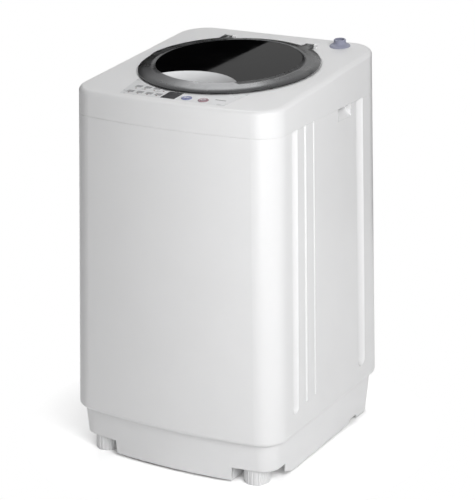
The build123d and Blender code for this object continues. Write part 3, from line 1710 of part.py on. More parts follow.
with BuildPart() as drive_pulley:
    drive_half = pulley_section(drum_section(0), drive_pulley_radius, pulley_hub_radius, shaft_radius)
    revolve(drive_half, axis=drum_axis)
    with BuildSketch(Plane.XY.offset(pulley_bottom)):
        with Locations((0, drum_y)):
            with PolarLocations(pulley_hole_circle, pulley_hole_count):
                Circle(pulley_hole_radius)
    extrude(amount=pulley_width, mode=Mode.SUBTRACT)
keep(drive_pulley.part, "drive_pulley")

with BuildPart() as motor_rotor:
    with BuildSketch(Plane.XY.offset(pulley_bottom - pulley_hub_proud)):
        with Locations((motor_x, motor_y)):
            Circle(motor_shaft_radius)
    extrude(amount=motor_bottom + motor_shaft_reach - pulley_bottom + pulley_hub_proud)
keep(motor_rotor.part, "motor_shaft")

with BuildPart() as motor_pulley:
    motor_plane = upright(motor_x, motor_y)
    motor_half = pulley_section(motor_plane, motor_pulley_radius, motor_pulley_hub, motor_shaft_radius)
    revolve(motor_half, axis=motor_axis)
keep(motor_pulley.part, "motor_pulley")

with BuildPart() as drive_belt:
    belt_z = pulley_bottom + (pulley_width - belt_height) / 2
    wrap = belt_gap - groove_depth
    with BuildSketch(Plane.XY.offset(belt_z)):
        with Locations((0, drum_y)):
            Circle(drive_pulley_radius + wrap + belt_thickness)
        with Locations((motor_x, motor_y)):
            Circle(motor_pulley_radius + wrap + belt_thickness)
        make_hull()
    extrude(amount=belt_height)
    with BuildSketch(Plane.XY.offset(belt_z)):
        with Locations((0, drum_y)):
            Circle(drive_pulley_radius + wrap)
        with Locations((motor_x, motor_y)):
            Circle(motor_pulley_radius + wrap)
        make_hull()
    extrude(amount=belt_height, mode=Mode.SUBTRACT)
keep(drive_belt.part, "drive_belt")

# Drain: valve under the tub, its actuator and pull rod, the hose and the spigot in the base
valve_bottom = tub_bottom - valve_height
actuator_face = actuator_y + actuator_size / 2
rod_start = actuator_face - pull_rod_sink
rod_end = valve_y - valve_radius + pull_rod_sink
with BuildPart() as drain_valve:
    with BuildSketch(Plane.XY.offset(valve_bottom)):
        with Locations((valve_x, valve_y)):
            Circle(valve_radius)
    extrude(amount=valve_height)
    with BuildSketch(Plane.XZ.offset(-valve_y)):
        with Locations((valve_x, drain_z)):
            Circle(hose_bore + valve_spout_wall)
    extrude(amount=-drain_reach)
    with BuildSketch(Plane.XY.offset(drain_z - hose_bore)):
        with Locations((valve_x, valve_y)):
            Circle(valve_bore)
    extrude(amount=tub_bottom - drain_z + hose_bore, mode=Mode.SUBTRACT)
    with BuildSketch(Plane.XZ.offset(-valve_y)):
        with Locations((valve_x, drain_z)):
            Circle(hose_bore)
    extrude(amount=-drain_reach, mode=Mode.SUBTRACT)
    with BuildSketch(Plane.XZ.offset(-valve_y)):
        with Locations((valve_x, drain_z)):
            Circle(pull_rod_radius + pull_rod_gap)
    extrude(amount=valve_radius, mode=Mode.SUBTRACT)
keep(drain_valve.part, "drain_valve")

with BuildPart() as drain_pull_rod:
    with BuildSketch(Plane.XZ.offset(-rod_end)):
        with Locations((valve_x, drain_z)):
            Circle(pull_rod_radius)
    extrude(amount=rod_end - rod_start)
    collar_y = valve_y - valve_radius - pull_rod_travel - pull_collar_gap
    with BuildSketch(Plane.XZ.offset(-collar_y)):
        with Locations((valve_x, drain_z)):
            Circle(pull_rod_radius + pull_collar)
    extrude(amount=pull_collar)
keep(drain_pull_rod.part, "drain_pull_rod")

with BuildPart() as drain_actuator:
    with Locations((valve_x, actuator_y, plate_top - actuator_height / 2)):
        Box(actuator_size, actuator_size, actuator_height)
    fillet(drain_actuator.edges().filter_by(Axis.Z), actuator_corner)
    with BuildSketch(Plane.XZ.offset(-actuator_face)):
        with Locations((valve_x, drain_z)):
            Circle(pull_rod_radius + pull_rod_gap)
    extrude(amount=pull_rod_sink + pull_rod_travel + actuator_end_gap, mode=Mode.SUBTRACT)
keep(drain_actuator.part, "drain_actuator")

hose_start = valve_y + drain_reach
spigot_inner = pad_face - spigot_depth
with BuildPart() as drain_hose:
    with BuildLine() as hose_path:
        FilletPolyline(
            (valve_x, hose_start, drain_z),
            (valve_x, hose_start + hose_run, drain_z),
            (spigot_x, spigot_inner - hose_end_run, spigot_z),
            (spigot_x, spigot_inner, spigot_z),
            radius=hose_bend,
        )
    with BuildSketch(Plane(origin=hose_path.line @ 0, z_dir=hose_path.line % 0)):
        Circle(hose_radius)
        Circle(hose_bore, mode=Mode.SUBTRACT)
    sweep(path=hose_path.line)
keep(drain_hose.part, "drain_hose")

with BuildPart() as drain_spigot:
    with BuildSketch(Plane.XZ.offset(-spigot_inner)):
        with Locations((spigot_x, spigot_z)):
            Circle(spigot_radius)
    extrude(amount=-(pad_face + spigot_reach - spigot_inner))
    with BuildSketch(Plane.XZ.offset(-pad_face)):
        with Locations((spigot_x, spigot_z)):
            Circle(spigot_radius + spigot_collar)
    extrude(amount=-spigot_collar_thickness)
    with BuildSketch(Plane.XZ.offset(-spigot_inner)):
        with Locations((spigot_x, spigot_z)):
            Circle(spigot_bore)
    extrude(amount=-(pad_face + spigot_reach - spigot_inner), mode=Mode.SUBTRACT)
keep(drain_spigot.part, "drain_spigot")

with BuildPart() as cord_gland:
    collar_face = pad_face + gland_collar_thickness
    nose_face = collar_face + gland_nose
    with BuildSketch(Plane.XZ.offset(-collar_face)):
        with Locations((gland_x, spigot_z)):
            Circle(gland_radius + gland_collar)
    extrude(amount=gland_collar_thickness)
    with BuildSketch(Plane.XZ.offset(-nose_face)):
        with Locations((gland_x, spigot_z)):
            Circle(gland_radius - gland_nose_drop)
    extrude(amount=gland_nose)
    with BuildSketch(Plane.XZ.offset(-pad_face)):
        with Locations((gland_x, spigot_z)):
            Circle(gland_radius)
    extrude(amount=gland_depth)
    with BuildSketch(Plane.XZ.offset(-nose_face)):
        with Locations((gland_x, spigot_z)):
            Circle(gland_bore)
    extrude(amount=nose_face - pad_face + gland_depth, mode=Mode.SUBTRACT)
keep(cord_gland.part, "cord_gland")

with BuildPart() as capacitor:
    capacitor_z = deck_top + capacitor_radius
    with BuildSketch(Plane.YZ.offset(capacitor_x - capacitor_length / 2)):
        with Locations((capacitor_y, capacitor_z)):
            Circle(capacitor_radius)
        with Locations((capacitor_y, capacitor_z - capacitor_radius / 2)):
            Rectangle(capacitor_radius, capacitor_radius)
    extrude(amount=capacitor_length)
keep(capacitor.part, "capacitor")

with BuildPart() as level_sensor:
    with BuildSketch(Plane.YZ.offset(tub_radius - sensor_bite)):
        with Locations((drum_y, sensor_z + sensor_size / 2)):
            RectangleRounded(sensor_size, sensor_size, sensor_corner)
    extrude(amount=sensor_depth / 2)
    with BuildSketch(Plane.YZ.offset(tub_radius - sensor_bite)):
        with Locations((drum_y, sensor_z + sensor_size / 2)):
            Circle(sensor_size / 2 - sensor_dome_inset)
    extrude(amount=sensor_depth)
    with Locations((0, drum_y, sensor_z + sensor_size / 2)):
        Cylinder(tub_radius, 2 * sensor_size, mode=Mode.SUBTRACT)
keep(level_sensor.part, "level_sensor")

with BuildPart() as air_hose:
    chamber_top = tub_bottom + tub_round + air_chamber_height
    with BuildSketch(Plane.XY.offset(chamber_top)):
        with Locations((tub_radius + air_hose_radius + air_hose_gap, drum_y)):
            Circle(air_hose_radius)
            Circle(air_hose_bore, mode=Mode.SUBTRACT)
    extrude(amount=sensor_z - chamber_top)
keep(air_hose.part, "air_hose")

# Spout from the inlet valve to the slot in the collar
valve_port = top_plane(inlet_x, inlet_y, valve_top - solenoid_height - port_length)
with BuildPart() as water_spout:
    port_mark = (valve_port.origin.X, valve_port.origin.Y)
    with BuildSketch(Plane.XY.offset(spout_z)):
        with Locations(port_mark):
            Circle(spout_height)
        with Locations(spout_mark):
            Circle(spout_height)
        make_hull()
    extrude(amount=spout_height)
    with BuildSketch(valve_port):
        Circle(port_radius)
    extrude(amount=-port_sleeve)
    with BuildSketch(Plane.XY.offset(spout_z + spout_wall)):
        with Locations(port_mark):
            Circle(spout_height - spout_wall)
        with Locations(spout_mark):
            Circle(spout_height - spout_wall)
        make_hull()
    extrude(amount=spout_height - 2 * spout_wall, mode=Mode.SUBTRACT)
    with BuildSketch(valve_port):
        Circle(port_bore)
    extrude(amount=-port_bore_depth, mode=Mode.SUBTRACT)
    with Locations((0, drum_y, spout_z)):
        Cylinder(spout_reach, 4 * spout_height, mode=Mode.SUBTRACT)
keep(water_spout.part, "water_spout")

print(len(saved), "pieces")
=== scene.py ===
import bpy
import bmesh
import json
import math
from mathutils import Matrix, Vector


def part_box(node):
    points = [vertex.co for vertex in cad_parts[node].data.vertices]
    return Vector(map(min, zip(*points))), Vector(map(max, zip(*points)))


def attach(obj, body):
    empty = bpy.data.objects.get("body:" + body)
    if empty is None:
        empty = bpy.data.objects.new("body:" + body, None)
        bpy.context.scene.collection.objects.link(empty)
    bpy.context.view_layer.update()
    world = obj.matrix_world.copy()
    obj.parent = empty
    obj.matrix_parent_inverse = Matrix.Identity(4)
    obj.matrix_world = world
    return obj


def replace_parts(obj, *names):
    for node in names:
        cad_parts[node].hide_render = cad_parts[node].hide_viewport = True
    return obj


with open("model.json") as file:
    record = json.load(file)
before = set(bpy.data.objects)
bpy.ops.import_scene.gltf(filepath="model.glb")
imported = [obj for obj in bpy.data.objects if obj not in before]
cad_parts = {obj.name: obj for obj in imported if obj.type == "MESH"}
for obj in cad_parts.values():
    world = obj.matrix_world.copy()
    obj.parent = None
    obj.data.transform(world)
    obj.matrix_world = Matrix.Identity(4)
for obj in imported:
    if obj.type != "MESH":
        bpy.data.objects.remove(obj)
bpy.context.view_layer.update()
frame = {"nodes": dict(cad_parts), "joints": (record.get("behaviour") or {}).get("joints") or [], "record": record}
nodes = frame["nodes"]
joints = {joint["name"]: joint for joint in frame["joints"]}

# Lengths are in metres and levels of colour are linear
FILM_RISE = 0.00005
FILM = 0.00008
OVERLAY_THICKNESS = 0.0006
OVERLAY_SINK = 0.0005
MARK_SETBACK = 0.0098
MERGE = 0.000002
SYMBOL_RISE = 0.0014
BASKET_INNER = 0.1508
BASKET_HOLE_COLUMNS = 12
LID_RADIUS = 0.175
WINDOW_RADIUS = 0.141
LID_FACE = 0.0077
LID_UNDERSIDE = 0.0009
RING_OUTER_RISE = 0.0047
RING_INNER_RISE = 0.0112
EAR_INNER = 0.0815
EAR_START = 0.150
FLAKE_HEIGHT = 0.000002
FLAKES_PER_METRE = 2600.0
PEARL_START = 0.1062
LABEL_RIGHT = 0.030
LABEL_UP = 0.011
MARK_TRIM = 0.001
RIB_RADIUS = 0.147


def middle(node):
    """Centre of a node's box."""
    low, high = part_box(node)
    return (Vector(low) + Vector(high)) / 2


# The keys are pressed square into the sloping top
TOP_UP = -Vector(joints["start_press"]["axis"])
TOP_TURN = Vector((0, 0, 1)).rotation_difference(TOP_UP).to_matrix().to_4x4()
DRUM_AXIS = Vector(joints["basket_spin"]["pos_m"]) * Vector((1, 1, 0))


def on_overlay(x, y, rise=0.0):
    """Place and tilt of the control strip's face at a point of its plan."""
    centre = middle("control_overlay")
    height = centre.z - (y - centre.y) * TOP_UP.y / TOP_UP.z
    face = Vector((x, y, height)) + TOP_UP * (OVERLAY_THICKNESS / 2 + rise)
    return Matrix.Translation(face) @ TOP_TURN


# Finishes
def new_finish(name, colour, roughness):
    """Start a finish with its shader and return the parts that the other helpers join up."""
    finish = bpy.data.materials.new(name)
    finish.use_nodes = True
    tree = finish.node_tree
    shader = tree.nodes["Principled BSDF"]
    shader.inputs["Base Color"].default_value = (*colour, 1)
    shader.inputs["Roughness"].default_value = roughness
    place = tree.nodes.new("ShaderNodeTexCoord")
    return finish, tree, shader, place.outputs["Object"]


def noise(tree, place, scale, detail=3.0, roughness=0.55):
    """Noise over the piece at so many cells to the metre."""
    node = tree.nodes.new("ShaderNodeTexNoise")
    node.inputs["Scale"].default_value = scale
    node.inputs["Detail"].default_value = detail
    node.inputs["Roughness"].default_value = roughness
    tree.links.new(place, node.inputs["Vector"])
    return node.outputs["Fac"]


def spread(tree, value, low, high):
    """Map noise onto a narrow span of values."""
    node = tree.nodes.new("ShaderNodeMapRange")
    node.inputs["From Min"].default_value = 0.3
    node.inputs["From Max"].default_value = 0.7
    node.inputs["To Min"].default_value = low
    node.inputs["To Max"].default_value = high
    tree.links.new(value, node.inputs["Value"])
    return node.outputs["Result"]


def tint(tree, value, dark, light):
    """Colour that drifts between two shades."""
    node = tree.nodes.new("ShaderNodeMix")
    node.data_type = "RGBA"
    node.inputs["A"].default_value = (*dark, 1)
    node.inputs["B"].default_value = (*light, 1)
    tree.links.new(value, node.inputs["Factor"])
    return node.outputs["Result"]


def relief(tree, shader, value, height):
    """Fine relief of a height in metres."""
    bump = tree.nodes.new("ShaderNodeBump")
    bump.inputs["Distance"].default_value = height
    tree.links.new(value, bump.inputs["Height"])
    tree.links.new(bump.outputs["Normal"], shader.inputs["Normal"])
    return bump


def soften(tree, bump, radius):
    """Rounded look on hard edges."""
    bevel = tree.nodes.new("ShaderNodeBevel")
    bevel.samples = 4
    bevel.inputs["Radius"].default_value = radius
    tree.links.new(bevel.outputs["Normal"], bump.inputs["Normal"])


def plastic(name, colour, roughness, grain, grain_height, drift, edge=0.0006, coat=0.0):
    """Moulded plastic: a faint drift of colour, uneven gloss and a fine spark-eroded grain."""
    finish, tree, shader, place = new_finish(name, colour, roughness)
    dark = [c * (1 - drift) for c in colour]
    light = [min(1.0, c * (1 + drift)) for c in colour]
    slow = spread(tree, noise(tree, place, 9.0, 2.0), 0, 1)
    tree.links.new(tint(tree, slow, dark, light), shader.inputs["Base Color"])
    gloss = spread(tree, noise(tree, place, 40.0, 4.0), roughness - 0.04, roughness + 0.04)
    tree.links.new(gloss, shader.inputs["Roughness"])
    soften(tree, relief(tree, shader, noise(tree, place, grain, 2.0), grain_height), edge)
    if coat:
        shader.inputs["Coat Weight"].default_value = coat
        shader.inputs["Coat Roughness"].default_value = 0.08
    return finish


def metal(name, colour, roughness, stretch=(1, 1, 30), scale=60.0, edge=0.0004,
          height=0.00003, metallic=1.0):
    """Metal with fine lines left by rolling, turning or brushing."""
    finish, tree, shader, place = new_finish(name, colour, roughness)
    shader.inputs["Metallic"].default_value = metallic
    turn = tree.nodes.new("ShaderNodeMapping")
    turn.inputs["Scale"].default_value = stretch
    tree.links.new(place, turn.inputs["Vector"])
    lines = noise(tree, turn.outputs["Vector"], scale, 4.0, 0.7)
    dark = [c * 0.86 for c in colour]
    light = [min(1.0, c * 1.06) for c in colour]
    tree.links.new(tint(tree, spread(tree, lines, 0, 1), dark, light), shader.inputs["Base Color"])
    gloss = spread(tree, noise(tree, place, 25.0), roughness - 0.07, roughness + 0.07)
    tree.links.new(gloss, shader.inputs["Roughness"])
    soften(tree, relief(tree, shader, lines, height), edge)
    return finish


def rubber(name, colour=(0.03, 0.03, 0.032), roughness=0.6):
    """Moulded rubber with a dusty bloom."""
    finish, tree, shader, place = new_finish(name, colour, roughness)
    bloom = noise(tree, place, 35.0, 6.0, 0.65)
    light = [min(1.0, c * 1.7 + 0.006) for c in colour]
    tree.links.new(tint(tree, spread(tree, bloom, 0, 1), colour, light), shader.inputs["Base Color"])
    tree.links.new(spread(tree, bloom, roughness - 0.08, roughness + 0.12), shader.inputs["Roughness"])
    soften(tree, relief(tree, shader, noise(tree, place, 1400.0, 2.0), 0.00005), 0.0004)
    return finish


def lacquer(name, colour, roughness, metallic, flake, coat):
    """Metallic lacquer: fine flakes under a clear coat."""
    finish, tree, shader, place = new_finish(name, colour, roughness)
    shader.inputs["Metallic"].default_value = metallic
    shader.inputs["Coat Weight"].default_value = coat
    shader.inputs["Coat Roughness"].default_value = 0.12
    cells = tree.nodes.new("ShaderNodeTexVoronoi")
    cells.inputs["Scale"].default_value = FLAKES_PER_METRE
    tree.links.new(place, cells.inputs["Vector"])
    dark = [c * (1 - flake) for c in colour]
    light = [min(1.0, c * (1 + flake)) for c in colour]
    tree.links.new(tint(tree, cells.outputs["Distance"], light, dark), shader.inputs["Base Color"])
    gloss = spread(tree, noise(tree, place, 30.0), roughness - 0.04, roughness + 0.05)
    tree.links.new(gloss, shader.inputs["Roughness"])
    soften(tree, relief(tree, shader, cells.outputs["Distance"], FLAKE_HEIGHT), 0.0006)
    return finish


def smoked(name, colour, roughness, gloss):
    """Dark polished plastic: nearly opaque, with the faintest unevenness in its polish."""
    finish, tree, shader, place = new_finish(name, colour, roughness)
    shader.inputs["Specular IOR Level"].default_value = gloss
    light = [c * 1.5 + 0.001 for c in colour]
    haze = noise(tree, place, 14.0, 5.0)
    tree.links.new(tint(tree, spread(tree, haze, 0, 1), colour, light), shader.inputs["Base Color"])
    tree.links.new(spread(tree, haze, roughness, roughness + 0.03), shader.inputs["Roughness"])
    soften(tree, relief(tree, shader, noise(tree, place, 60.0, 1.0), 0.000004), 0.0005)
    return finish


finishes = {
    "body_white": plastic("body_white", (0.868, 0.868, 0.872), 0.34, 1300.0, 0.000025, 0.008, 0.0009),
    "panel_white": plastic("panel_white", (0.82, 0.82, 0.825), 0.45, 900.0, 0.00005, 0.012),
    "lid_grey": lacquer("lid_grey", (0.065, 0.066, 0.068), 0.28, 0.9, 0.05, 0.06),
    "window_smoke": smoked("window_smoke", (0.0012, 0.0012, 0.0014), 0.012, 0.025),
    "grip_silver": lacquer("grip_silver", (0.19, 0.192, 0.195), 0.34, 0.9, 0.03, 0.05),
    "overlay_silver": plastic(
        "overlay_silver", (0.80, 0.805, 0.815), 0.30, 600.0, 0.00002, 0.01, 0.0002, 0.3),
    "display_dark": smoked("display_dark", (0.030, 0.030, 0.033), 0.12, 0.06),
    "lens_clear": plastic("lens_clear", (0.42, 0.33, 0.31), 0.2, 900.0, 0.00001, 0.04, 0.0002, 0.6),
    "button_blue": plastic("button_blue", (0.17, 0.19, 0.38), 0.28, 900.0, 0.00002, 0.05, 0.0005, 0.5),
    "button_red": plastic("button_red", (0.30, 0.17, 0.20), 0.28, 900.0, 0.00002, 0.05, 0.0005, 0.5),
    "inlet_lilac": plastic("inlet_lilac", (0.30, 0.31, 0.40), 0.42, 900.0, 0.00004, 0.03, 0.0005),
    "inner_white": plastic("inner_white", (0.70, 0.71, 0.72), 0.42, 500.0, 0.00006, 0.03),
    "board_green": plastic("board_green", (0.012, 0.10, 0.035), 0.3, 700.0, 0.00003, 0.15, 0.0002, 0.3),
    "rubber_dark": rubber("rubber_dark"),
    "cup_grey": plastic("cup_grey", (0.10, 0.105, 0.115), 0.5, 700.0, 0.00008, 0.06, 0.0005),
    "steel_bright": metal("steel_bright", (0.55, 0.56, 0.58), 0.32),
    "basket_steel": metal("basket_steel", (0.74, 0.75, 0.76), 0.34, (1, 1, 40), 50.0, metallic=0.7),
    "case_alloy": metal("case_alloy", (0.42, 0.43, 0.44), 0.45, (1, 1, 1), 500.0, 0.0006, 0.00010),
    "motor_grey": plastic("motor_grey", (0.06, 0.065, 0.072), 0.38, 260.0, 0.00008, 0.08, 0.0006, 0.2),
    "capacitor_shell": plastic("capacitor_shell", (0.62, 0.62, 0.56), 0.35, 400.0, 0.00004, 0.03, 0.0005),
    "magnet_dark": metal("magnet_dark", (0.12, 0.12, 0.125), 0.4, (1, 1, 1), 400.0),
}
for row in frame["record"]["subparts"]:
    node = nodes[row["node"]]
    node.data.materials.clear()
    node.data.materials.append(finishes[row["material_slot"]])
ink = plastic("ink_grey", (0.17, 0.17, 0.18), 0.45, 500.0, 0.00001, 0.05, 0.0)
ink_pale = plastic("ink_pale", (0.62, 0.64, 0.70), 0.4, 500.0, 0.00001, 0.05, 0.0)


def finished(name, mesh, body):
    """Put a finished mesh into the scene on its body."""
    piece = bpy.data.objects.new(name, mesh)
    bpy.context.scene.collection.objects.link(piece)
    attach(piece, body)
    return piece


# Lid: the ring falls away to its edge as a shallow cone, and carries the window and grip higher
LID_CENTRE = on_overlay(DRUM_AXIS.x, DRUM_AXIS.y, OVERLAY_SINK - OVERLAY_THICKNESS).translation


def cone_height(point):
    """Height that a point of the flat ring takes on the cone, over the sloping top."""
    reach = point - LID_CENTRE
    height = reach.dot(TOP_UP)
    radius = (reach - TOP_UP * height).length
    share = min(1.0, max(0.0, (radius - WINDOW_RADIUS) / (LID_RADIUS - WINDOW_RADIUS)))
    top = RING_INNER_RISE + (RING_OUTER_RISE - RING_INNER_RISE) * share
    in_ear = abs(reach.x) > EAR_INNER and reach.y > 0 and radius > EAR_START
    if in_ear or height < LID_UNDERSIDE:
        return height, height
    stretched = (height - LID_UNDERSIDE) * (top - LID_UNDERSIDE) / (LID_FACE - LID_UNDERSIDE)
    return height, LID_UNDERSIDE + stretched


def ring_point(point):
    """Place on the coned ring of a point of the flat one."""
    old, new = cone_height(point)
    return point + TOP_UP * (new - old)


def lifted_point(point):
    """Place of a point of the window or its grip, carried up with the ring's inner edge."""
    return point + TOP_UP * (RING_INNER_RISE - LID_FACE)


def reshaped(name, node, slot, move):
    """Piece of the lid made from a node's shape with its points moved, in place of that node."""
    builder = bmesh.new()
    builder.from_mesh(nodes[node].data)
    bmesh.ops.remove_doubles(builder, verts=builder.verts, dist=MERGE)
    for vertex in builder.verts:
        vertex.co = move(vertex.co)
    mesh = bpy.data.meshes.new(name)
    builder.to_mesh(mesh)
    mesh.shade_smooth()
    mesh.set_sharp_from_angle(angle=math.radians(25))
    mesh.materials.append(finishes[slot])
    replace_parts(finished(name, mesh, "lid"), node)


reshaped("lid_ring", "lid_frame", "lid_grey", ring_point)
reshaped("window_pane", "lid_window", "window_smoke", lifted_point)
reshaped("grip_scoop", "lid_grip", "grip_silver", lifted_point)


# Repeats made by geometry nodes
class Repeat:
    """A node tree with named sizes, which lays out copies of one small shape."""

    def __init__(self, name, sizes, counts):
        self.tree = bpy.data.node_groups.new(name, "GeometryNodeTree")
        self.tree.interface.new_socket("Geometry", in_out="OUTPUT", socket_type="NodeSocketGeometry")
        self.sockets = {}
        kinds = ((sizes, "NodeSocketFloat"), (counts, "NodeSocketInt"), (["Finish"], "NodeSocketMaterial"))
        for names, kind in kinds:
            for label in names:
                socket = self.tree.interface.new_socket(label, in_out="INPUT", socket_type=kind)
                self.sockets[label] = socket.identifier
        self.inputs = self.tree.nodes.new("NodeGroupInput").outputs
        self.result = self.tree.nodes.new("NodeGroupOutput").inputs["Geometry"]

    def join(self, source, target):
        """Link a socket, or set a constant on one."""
        if isinstance(source, (int, float, tuple)):
            target.default_value = source
        else:
            self.tree.links.new(source, target)

    def calc(self, operation, first, second=0.0):
        """One step of arithmetic."""
        node = self.tree.nodes.new("ShaderNodeMath")
        node.operation = operation
        self.join(first, node.inputs[0])
        self.join(second, node.inputs[1])
        return node.outputs[0]

    def vector(self, x, y, z):
        """Vector made of three values."""
        node = self.tree.nodes.new("ShaderNodeCombineXYZ")
        for value, socket in zip((x, y, z), node.inputs):
            self.join(value, socket)
        return node.outputs[0]

    def stand(self, points, shape, turns=None):
        """Copies of a shape on points, made real and given their finish."""
        copies = self.tree.nodes.new("GeometryNodeInstanceOnPoints")
        self.join(points, copies.inputs["Points"])
        self.join(shape, copies.inputs["Instance"])
        if turns is not None:
            self.join(turns, copies.inputs["Rotation"])
        real = self.tree.nodes.new("GeometryNodeRealizeInstances")
        self.join(copies.outputs[0], real.inputs[0])
        finish = self.tree.nodes.new("GeometryNodeSetMaterial")
        self.join(real.outputs[0], finish.inputs["Geometry"])
        self.join(self.inputs["Finish"], finish.inputs["Material"])
        self.join(finish.outputs[0], self.result)

    def build(self, name, values, place):
        """Plain mesh of the tree's result for these sizes, put in its place."""
        host = bpy.data.objects.new(name + "_layout", bpy.data.meshes.new(name + "_layout"))
        bpy.context.scene.collection.objects.link(host)
        layout = host.modifiers.new("layout", "NODES")
        layout.node_group = self.tree
        for label, value in values.items():
            layout[self.sockets[label]] = value
        depsgraph = bpy.context.evaluated_depsgraph_get()
        mesh = bpy.data.meshes.new_from_object(host.evaluated_get(depsgraph), depsgraph=depsgraph)
        bpy.data.objects.remove(host)
        mesh.name = name
        mesh.transform(place)
        return mesh


def printed_rows():
    """Tree of small printed bars in rows."""
    lengths = ["Column Pitch", "Row Pitch", "Length", "Height", "Film"]
    repeat = Repeat("printed_rows", lengths, ["Columns", "Rows"])
    given = repeat.inputs
    grid = repeat.tree.nodes.new("GeometryNodeMeshGrid")
    across = repeat.calc("MULTIPLY", given["Column Pitch"], repeat.calc("SUBTRACT", given["Columns"], 1.0))
    along = repeat.calc("MULTIPLY", given["Row Pitch"], repeat.calc("SUBTRACT", given["Rows"], 1.0))
    repeat.join(across, grid.inputs["Size X"])
    repeat.join(along, grid.inputs["Size Y"])
    repeat.join(given["Columns"], grid.inputs["Vertices X"])
    repeat.join(given["Rows"], grid.inputs["Vertices Y"])
    bar_shape = repeat.tree.nodes.new("GeometryNodeMeshCube")
    repeat.join(repeat.vector(given["Length"], given["Height"], given["Film"]), bar_shape.inputs["Size"])
    repeat.stand(grid.outputs["Mesh"], bar_shape.outputs["Mesh"])
    return repeat


def rows_round_axis(name, shape_maker):
    """Tree of small shapes standing in rows round an upright axis, each row turned half a step."""
    repeat = Repeat(name, ["Radius", "Row Pitch", "Depth", "Width", "Height"], ["Count", "Rows"])
    given = repeat.inputs
    points = repeat.tree.nodes.new("GeometryNodePoints")
    repeat.join(repeat.calc("MULTIPLY", given["Count"], given["Rows"]), points.inputs["Count"])
    index = repeat.tree.nodes.new("GeometryNodeInputIndex").outputs[0]
    row = repeat.calc("FLOOR", repeat.calc("DIVIDE", index, given["Count"]))
    step = repeat.calc("ADD", index, repeat.calc("MULTIPLY", row, 0.5))
    angle = repeat.calc("MULTIPLY", step, repeat.calc("DIVIDE", math.tau, given["Count"]))
    x = repeat.calc("MULTIPLY", given["Radius"], repeat.calc("COSINE", angle))
    y = repeat.calc("MULTIPLY", given["Radius"], repeat.calc("SINE", angle))
    z = repeat.calc("MULTIPLY", row, given["Row Pitch"])
    repeat.join(repeat.vector(x, y, z), points.inputs["Position"])
    shape = shape_maker(repeat, repeat.vector(given["Depth"], given["Width"], given["Height"]))
    repeat.stand(points.outputs[0], shape, repeat.vector(0.0, 0.0, angle))
    return repeat


def pearl(repeat, size):
    """Low round pearl pressed in sheet."""
    ball = repeat.tree.nodes.new("GeometryNodeMeshUVSphere")
    ball.inputs["Segments"].default_value = 12
    ball.inputs["Rings"].default_value = 8
    ball.inputs["Radius"].default_value = 0.5
    shaped = repeat.tree.nodes.new("GeometryNodeTransform")
    repeat.join(ball.outputs["Mesh"], shaped.inputs["Geometry"])
    repeat.join(size, shaped.inputs["Scale"])
    return shaped.outputs[0]


def rib(repeat, size):
    """Straight moulded rib."""
    block = repeat.tree.nodes.new("GeometryNodeMeshCube")
    repeat.join(size, block.inputs["Size"])
    return block.outputs["Mesh"]


rows = printed_rows()
light_low, light_high = (Vector(corner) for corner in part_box("indicator_lights"))
mark_columns = 4
mark_pitch = (light_high.x - light_low.x) / (mark_columns - 1) - MARK_TRIM
mark_size = {
    "Columns": mark_columns, "Rows": 3, "Column Pitch": mark_pitch, "Row Pitch": 0.0038,
    "Length": 0.0138, "Height": 0.0026, "Film": FILM, "Finish": ink,
}
lights = middle("indicator_lights")
for row_name, row_y in (("front_marks", light_low.y), ("rear_marks", light_high.y)):
    place = on_overlay(lights.x, row_y + MARK_SETBACK, FILM_RISE)
    finished(row_name, rows.build(row_name, mark_size, place), "cabinet")
label_size = {
    "Columns": 1, "Rows": 1, "Column Pitch": 0.0, "Row Pitch": 0.0,
    "Length": 0.022, "Height": 0.0030, "Film": FILM, "Finish": ink,
}
power = middle("power_button")
label_place = on_overlay(power.x + LABEL_RIGHT, power.y + LABEL_UP, FILM_RISE)
label_mesh = rows.build("plain_label", label_size, label_place)
finished("plain_label", label_mesh, "cabinet")

pearls = rows_round_axis("pearl_rows", pearl)
ribs = rows_round_axis("rib_rows", rib)
basket_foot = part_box("spin_basket")[0][2]
pearl_size = {
    "Radius": BASKET_INNER, "Row Pitch": 0.0444, "Depth": 0.0022, "Width": 0.009, "Height": 0.009,
    "Count": 2 * BASKET_HOLE_COLUMNS, "Rows": 5, "Finish": finishes["basket_steel"],
}
turn = Matrix.Rotation(math.pi / (2 * BASKET_HOLE_COLUMNS), 4, "Z")
pearl_place = Matrix.Translation(DRUM_AXIS + Vector((0, 0, basket_foot + PEARL_START))) @ turn
finished("basket_pearls", pearls.build("basket_pearls", pearl_size, pearl_place), "basket")
ring_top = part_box("balance_ring")[1][2]
ring_rib_size = {
    "Radius": RIB_RADIUS, "Row Pitch": 0.0, "Depth": 0.010, "Width": 0.0022, "Height": 0.0012,
    "Count": 40, "Rows": 1, "Finish": finishes["inner_white"],
}
ring_place = Matrix.Translation(DRUM_AXIS + Vector((0, 0, ring_top)))
ring_ribs = ribs.build("balance_ring_ribs", ring_rib_size, ring_place)
finished("balance_ring_ribs", ring_ribs, "basket")


# Symbols on the keys
def flat_shape(builder, loops, place, thickness):
    """Add flat shapes with a thickness, each given by the points of its edge."""
    for loop in loops:
        lower = [builder.verts.new(place @ Vector((x, y, 0))) for x, y in loop]
        upper = [builder.verts.new(place @ Vector((x, y, thickness))) for x, y in loop]
        builder.faces.new(list(reversed(lower)))
        builder.faces.new(upper)
        for i in range(len(loop)):
            j = (i + 1) % len(loop)
            builder.faces.new((lower[i], lower[j], upper[j], upper[i]))


def bar(x, y, length, height):
    """Edge of a small printed bar."""
    across = length / 2
    along = height / 2
    corners = ((-across, -along), (across, -along), (across, along), (-across, along))
    return [(x + right, y + up) for right, up in corners]


